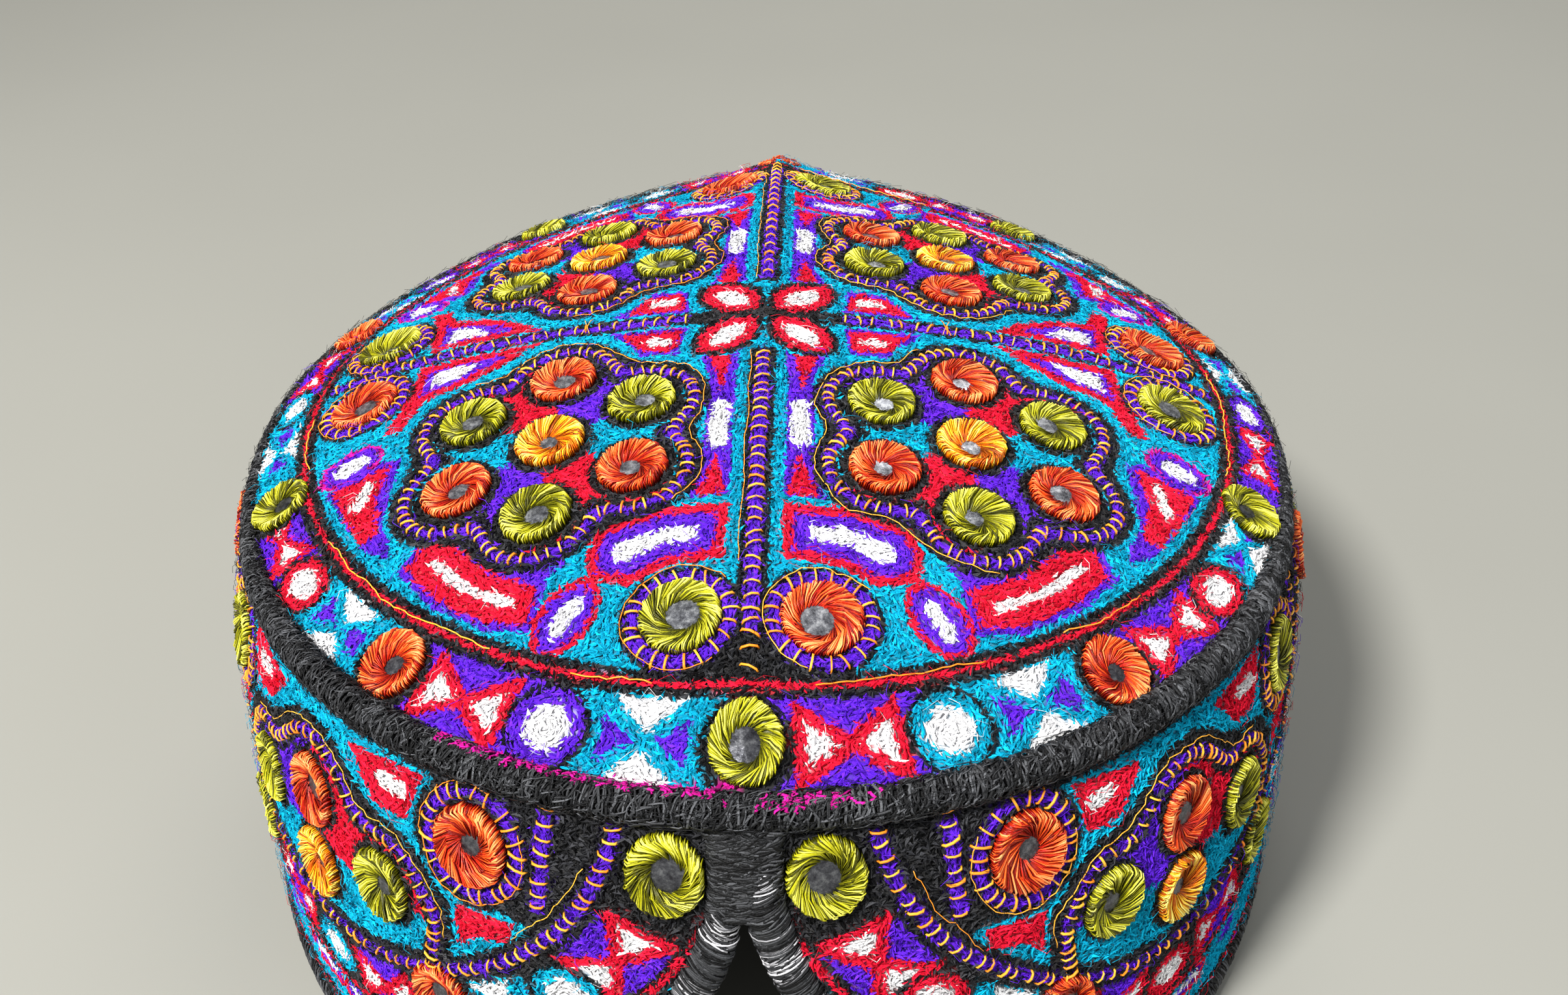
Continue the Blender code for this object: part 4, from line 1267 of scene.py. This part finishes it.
fibres = rollWork["fibres"]
count = rollWork["stitches"] * fibres
number, beside = np.arange(count) // fibres, rng.normal(0, 0.23, count)
turns = math.tau * (number + 0.5 + beside) / rollWork["stitches"]
own = rng.random((3, rollWork["stitches"]))[:, number]
slants = rollWork["slant"] * np.where(number % 2, 1, -0.35) + 1.6 * (own[0] - 0.5) + rng.normal(0, 0.2, count)
low = -35 + 55 * own[1] + rng.normal(0, 6, count)
high = 212 - 45 * own[2] + rng.normal(0, 6, count)
lifts = 0.42 - 0.5 * np.abs(beside) + rng.uniform(-0.08, 0.08, count)
thick = rollWork["thread"] * rng.uniform(0.75, 1.25, (count, 1))
# tone picks the strands that take the yarn's painted highlight grey
tone = 0.35 * own[0] + 0.75 * rng.random(count) ** 1.5
makePiece("roll_wool", [rollStrands(turns, slants, low, high, lifts, thick, tone)], "yarn", "black_thread")
count = rollWork["loose"]
turns, low = rng.uniform(-math.pi, math.pi, count), rng.uniform(-25, 175, count)
level = np.exp(-(turns / 0.5) ** 2)  # at the front the short stitches lie along the roll
slants = rng.choice([-1, 1], count) * rng.uniform(0.4, 1.6, count) + 1.3 * level
high = low + rng.uniform(18, 62, count) * (1 - 0.6 * level)
lifts = rng.uniform(0.34, 0.62, count)
thick = rollWork["thread"] * rng.uniform(0.5, 0.85, (count, 1))
tone = rng.random(count) ** 1.2
makePiece("roll_loops", [rollStrands(turns, slants, low, high, lifts, thick, tone, 4)], "yarn", "black_thread")
many, few = rollWork["magenta"]
count = many + few
turns = np.concatenate([rng.uniform(-0.46, -0.04, many), rng.normal(0.09, 0.045, few)])
low = np.concatenate([rng.uniform(128, 165, many), rng.uniform(85, 140, few)])
slants, high = rng.normal(0, 0.5, count), low + rng.uniform(18, 42, count)
strands = rollStrands(turns, slants, low, high, rng.uniform(0.35, 0.5, count), 0.2, rng.random(count))
makePiece("roll_magenta", [strands], "magenta", "embroidered_cloth")
print("roll oversewn")

# Bindings of the notch and of the rim

bindingWork = {"legHalf": 2.8, "legFlat": 0.8, "wrap": 0.15, "thread": 0.17, "greyShare": 0.22,
               "legTops": (3.5, 8.5), "rimHalf": (2.15, 2.75), "rimLength": 585, "rimWraps": 1300,
               "stemHalf": (4.7, 5.2), "stemFlat": 0.44, "stemStrands": 1500, "stemThread": 0.15}


def outwardAt(turn):
    return np.stack([np.sin(turn), -np.cos(turn), 0 * turn], -1)


def legPath(side, heights):
    across = (np.maximum(notchHalf(heights), 0) + notchOuter(heights)) / 2
    turn = side * across / frontRadius
    above = smoothly((heights - notchTop + 4) / 6)
    middle = bandRadius(turn, seamHeight(turn) - heights) - capForm["wall"] / 2 + 1.5 * above
    return roundAt(turn, middle, heights), outwardAt(turn)


def wrapsOn(path, ups, half, flat, spacing, slant, lift=0.12):
    # nearly closed turns of thread round a path
    steps = np.linalg.norm(np.diff(path, axis=0), axis=1)
    gone = np.concatenate([[0], np.cumsum(steps)])
    wanted = np.arange(0.3, gone[-1] - 0.3, spacing)
    wanted = wanted + rng.uniform(-0.35, 0.35, len(wanted)) * spacing
    at = lambda where, what: np.stack([np.interp(where, gone, what[:, k]) for k in range(3)], -1)
    begin = rng.uniform(-0.25, 0.35, len(wanted)) * math.pi
    length = rng.uniform(0.65, 1.25, len(wanted)) * math.pi - begin
    angle = begin[:, None] + length[:, None] * np.linspace(0, 1, 9)
    lean = rng.normal(slant, 0.8, len(wanted))
    where = wanted[:, None] + lean[:, None] * np.cos(angle) * 0.5
    centre, up = at(where, path), unit(at(where, ups))
    ahead = unit(at(where + 0.4, path) - at(where - 0.4, path))
    side = unit(np.cross(ahead, up))
    up = np.cross(side, ahead)
    core = np.interp(wanted, gone, np.broadcast_to(half, len(path)))[:, None]
    raised = core + lift * rng.uniform(0.2, 2.2, (len(wanted), 1))
    out = np.cos(angle)[..., None] * side + np.sin(angle)[..., None] * flat * up
    return centre + raised[..., None] * out, unit(out)


blackWraps, greyWraps, cores = [], [], []
for side in (-1, 1):
    legTop = bindingWork["legTops"][side > 0]
    heights = np.linspace(notchTop + legTop, 1.2, 40)
    path, ups = legPath(side, heights)
    thick = bindingWork["legHalf"] * smoothly(0.35 + np.arange(40) / 9)[None]
    cores.append(threadsPart(path[None], ups[None], thick, 14, [0.1], bindingWork["legFlat"]))
    paths, outs = wrapsOn(path, ups, thick[0], bindingWork["legFlat"], bindingWork["wrap"], 1.8 * side)
    waves = np.sin(np.arange(len(paths)) * 0.07 + side) + 0.5 * np.sin(np.arange(len(paths)) * 0.31)
    grey = rng.random(len(paths)) < np.clip(bindingWork["greyShare"] + 0.3 * waves, 0.05, 0.95)
    thick = bindingWork["thread"] * rng.uniform(0.75, 1.15, (len(paths), 1))
    tone = 0.85 * rng.random(np.sum(~grey))
    blackWraps.append(threadsPart(paths[~grey], outs[~grey], thick[~grey], 3, tone))
    greyWraps.append(threadsPart(paths[grey], outs[grey], thick[grey] * 0.75, 3))
top = frontSeam - 2.5
heights = np.linspace(top, notchTop + 0.4, 12)
turn = np.zeros(12)
stem = roundAt(turn, bandRadius(turn, frontSeam - heights) - capForm["wall"] / 2, heights)
ups = outwardAt(turn)
width = np.linspace(*bindingWork["stemHalf"], 12)
cores.append(threadsPart(stem[None], ups[None], width[None], 14, [0.1], bindingWork["stemFlat"]))
count = bindingWork["stemStrands"]
share = rng.random(count)  # from the roll down to the point of the notch
heights = top + 2.6 - share * (capForm["notchDrop"] - 0.4)
upright = np.exp(-share * 7) * rng.uniform(0.4, 1.3, count)
lean = rng.normal(0, 0.22, count) + upright * np.sign(rng.normal(0, 1, count)) * 1.2
wide = 4.0 + 5 * np.exp(-share * 7) + share ** 3
middle, long = rng.uniform(-0.8, 0.8, count) * wide, rng.uniform(2.0, 6.5, count)
along = np.linspace(-0.5, 0.5, 5)[None]
across = middle[:, None] + long[:, None] * along * np.cos(lean)[:, None]
across = np.clip(across, -wide[:, None] - 0.8, wide[:, None] + 0.8)
level = heights[:, None] + long[:, None] * along * np.sin(lean)[:, None] + rng.normal(0, 0.12, across.shape)
bulge = 1.15 * np.sqrt(np.clip(1 - (across / 5.6) ** 2, 0, 1)) + rng.uniform(0.0, 0.4, (count, 1))
bulge = bulge - 0.5 * (np.abs(along) > 0.4)
turn = across / frontRadius
level = np.minimum(level, frontSeam + 0.4)
paths = roundAt(turn, bandRadius(turn, seamHeight(turn) - level) + bulge, level)
thick = bindingWork["stemThread"] * rng.uniform(0.6, 1.3, (count, 1))
blackWraps.append(threadsPart(paths, outwardAt(turn), thick, 3, 0.8 * rng.random(count)))
makePiece("notch_core", cores, "black", "black_thread", "notch_binding")
makePiece("notch_black_wraps", blackWraps, "yarn", "black_thread")
makePiece("notch_grey_wraps", greyWraps, "grey", "black_thread")

start = float(notchOuter(np.array(0.5)) / frontRadius)
turn = np.linspace(start, math.tau - start, 260)
upHalf, outHalf = bindingWork["rimHalf"]
middle = bandRadius(turn, seamHeight(turn) - 3.2) - capForm["wall"] / 2
path, ups = roundAt(turn, middle, 3.15), outwardAt(turn)
core = threadsPart(path[None], ups[None], outHalf, 14, [0.1], upHalf / outHalf)
makePiece("rim_core", [core], "black", "black_thread", "rim_binding")
spacing = bindingWork["rimLength"] / bindingWork["rimWraps"]
paths, outs = wrapsOn(path, ups, outHalf, upHalf / outHalf, spacing, 1.6, 0.08)
thick = 0.2 * rng.uniform(0.7, 1.2, (len(paths), 1))
makePiece("rim_wool", [threadsPart(paths, outs, thick, 3)], "yarn", "black_thread")
print("bindings wrapped")

# Loose fibres

fuzzWork = {"crown": 7500, "band": 7500, "roll": 2400, "length": (1.2, 3.4), "thick": 0.038}


def fuzzOn(surface, pattern, places):
    work = pattern(places)
    ok = work.thread >= 0
    places, thread = places[ok], work.thread[ok]
    angle = rng.uniform(0, math.tau, len(places))
    reach = rng.uniform(*fuzzWork["length"], len(places)) * 0.5
    ahead = np.stack([np.cos(angle), np.sin(angle)], -1) * reach[:, None]
    bend = leftOf(ahead) * rng.normal(0, 0.35, (len(places), 1))
    rise = rng.uniform(0.3, 1.5, len(places))
    stops = [surface(places - ahead, 0.2 + 0 * rise), surface(places + bend, 0.5 + rise * 0.7),
             surface(places + ahead, rise)]
    paths, ups = (np.stack([stop[k] for stop in stops], 1) for k in range(2))
    return paths, ups, thread


bunches = {}
for surface, pattern, count, within in ((crownAt, crownPattern, fuzzWork["crown"], (88.0, 88.0, 0.0)),
                                        (bandAt, bandPattern, fuzzWork["band"], (282.0, 34.0, 38.0))):
    places = rng.uniform(-1, 1, (count, 2)) * within[:2] + [0.0, within[2]]
    places = places[onCrown(places) if surface is crownAt else onBand(places)]
    paths, ups, thread = fuzzOn(surface, pattern, places)
    for index, threadName in enumerate(threadNames):
        chosen = thread == index
        fibres = threadsPart(paths[chosen], ups[chosen], fuzzWork["thick"], 3)
        bunches.setdefault(threadName, []).append(fibres)
count = fuzzWork["roll"]
turns, angle = rng.uniform(0, math.tau, count), rng.uniform(-0.3, 3.4, count)
steps = np.stack([np.zeros(count), rng.normal(0, 1.4, count), rng.normal(0, 2.4, count)], 1)
steps = steps / capForm["radius"]
lifts = np.stack([np.full(count, 0.2), rng.uniform(0.4, 0.9, count), rng.uniform(0.4, 1.5, count)], 1)
paths = rollAt(turns[:, None] + steps, angle[:, None] + rng.normal(0, 0.2, (count, 3)), lifts)
ups = unit(paths - rollAt(turns[:, None] + steps, angle[:, None], lifts - 1))
bunches["black"].append(threadsPart(paths, ups, fuzzWork["thick"], 3))
for threadName, parts in bunches.items():
    slot = "black_thread" if threadName == "black" else "embroidered_cloth"
    makePiece(f"{threadName}_fuzz", parts, threadName, slot)
print("fibres teased out")

# Camera, floor and light

cameraWork = {"place": (0.0087, -0.2099 + middleY * 0.001, 0.2211), "lens": 34.04, "rise": 0.6582,
              "yaw": 0.029, "roll": -0.0119}
# place, target, size, energy and colour of each light
lightWork = {"key": ((-0.45, -0.55, 0.95), (0, -0.02, 0.06), 0.2, 26.0, (1.0, 0.98, 0.95)),
             "fill": ((0.9, -0.5, 0.6), (0, 0, 0.05), 0.9, 4.0, (0.92, 0.95, 1.0)),
             "back": ((0.2, 0.9, 0.9), (0, 0, 0.08), 0.7, 5.0, (1.0, 0.98, 0.95))}
# left and right scale the floor's tone at each side: painted light falloff
stageWork = {"tones": ((0.25, 0.25, 0.226), (0.31, 0.31, 0.281)), "left": (0.84, 0.84, 0.84),
             "right": (1.14, 1.14, 1.14), "room": (0.80, 0.80, 0.78), "roomStrength": 0.42}


def makeCamera():
    rise, yaw, roll = cameraWork["rise"], cameraWork["yaw"], cameraWork["roll"]
    back = Vector((math.sin(yaw) * math.cos(rise), -math.cos(yaw) * math.cos(rise), math.sin(rise)))
    right = (-back).cross(Vector((0, 0, 1))).normalized()
    up = right.cross(-back)
    right, up = right * math.cos(roll) + up * math.sin(roll), up * math.cos(roll) - right * math.sin(roll)
    turn = Matrix((right, up, back)).transposed().to_4x4()
    data = bpy.data.cameras.new("camera")
    data.lens, data.sensor_width, data.sensor_fit = cameraWork["lens"], 36.0, "HORIZONTAL"
    camera = bpy.data.objects.new("camera", data)
    camera.matrix_world = Matrix.Translation(cameraWork["place"]) @ turn
    data.clip_start = 0.01
    bpy.context.scene.collection.objects.link(camera)
    bpy.context.scene.camera = camera


def makeLight(name, place, target, size, energy, colour):
    data = bpy.data.lights.new(name, "AREA")
    data.shape, data.size, data.energy, data.color = "DISK", size, energy, colour
    light = bpy.data.objects.new(name, data)
    light.location = place
    light.rotation_euler = (Vector(target) - Vector(place)).to_track_quat("-Z", "Y").to_euler()
    bpy.context.scene.collection.objects.link(light)


def makeStage():
    n = Nodes("paleStudioFloor")
    mottling = n.grain(3, 3.0)
    place = n.add("ShaderNodeSeparateXYZ", None, {"Vector": n.add("ShaderNodeTexCoord", out=3)})
    tone = n.mix(mottling, *stageWork["tones"])
    settings = {"operation": "MULTIPLY_ADD", "use_clamp": True}
    # the floor darkens to the left and lightens to the right: painted light
    paintedLightToRight = n.add("ShaderNodeMath", settings, {0: place, 1: 0.5, 2: 0.5})
    left, right = (n.mix(1.0, tone, stageWork[key], "MULTIPLY") for key in ("left", "right"))
    tone = n.mix(paintedLightToRight, left, right)
    n.finish(tone, 0.85 + 0.1 * mottling, mottling, 0.05, 0.001)
    deselectAll()
    bpy.ops.mesh.primitive_grid_add(x_subdivisions=8, y_subdivisions=60, size=2)
    floor = bpy.context.object
    floor.name = "floor"
    for vertex in floor.data.vertices:
        x, y = vertex.co.x * 6, vertex.co.y * 3 - 0.6
        rise = max(0.0, y - 0.9)
        vertex.co = (x, min(y, 1.6), rise ** 1.5 * 1.3)
    floor.data.materials.append(n.material)
    floor.data.shade_smooth()


makeCamera()
makeStage()
for name, values in lightWork.items():
    makeLight(name, *values)
world = bpy.data.worlds.new("softRoom")
world.use_nodes = True
background = world.node_tree.nodes["Background"]
background.inputs["Color"].default_value = (*stageWork["room"], 1)
background.inputs["Strength"].default_value = stageWork["roomStrength"]
bpy.context.scene.world = world
bpy.context.scene.view_settings.view_transform = "Standard"
print("stage lit")
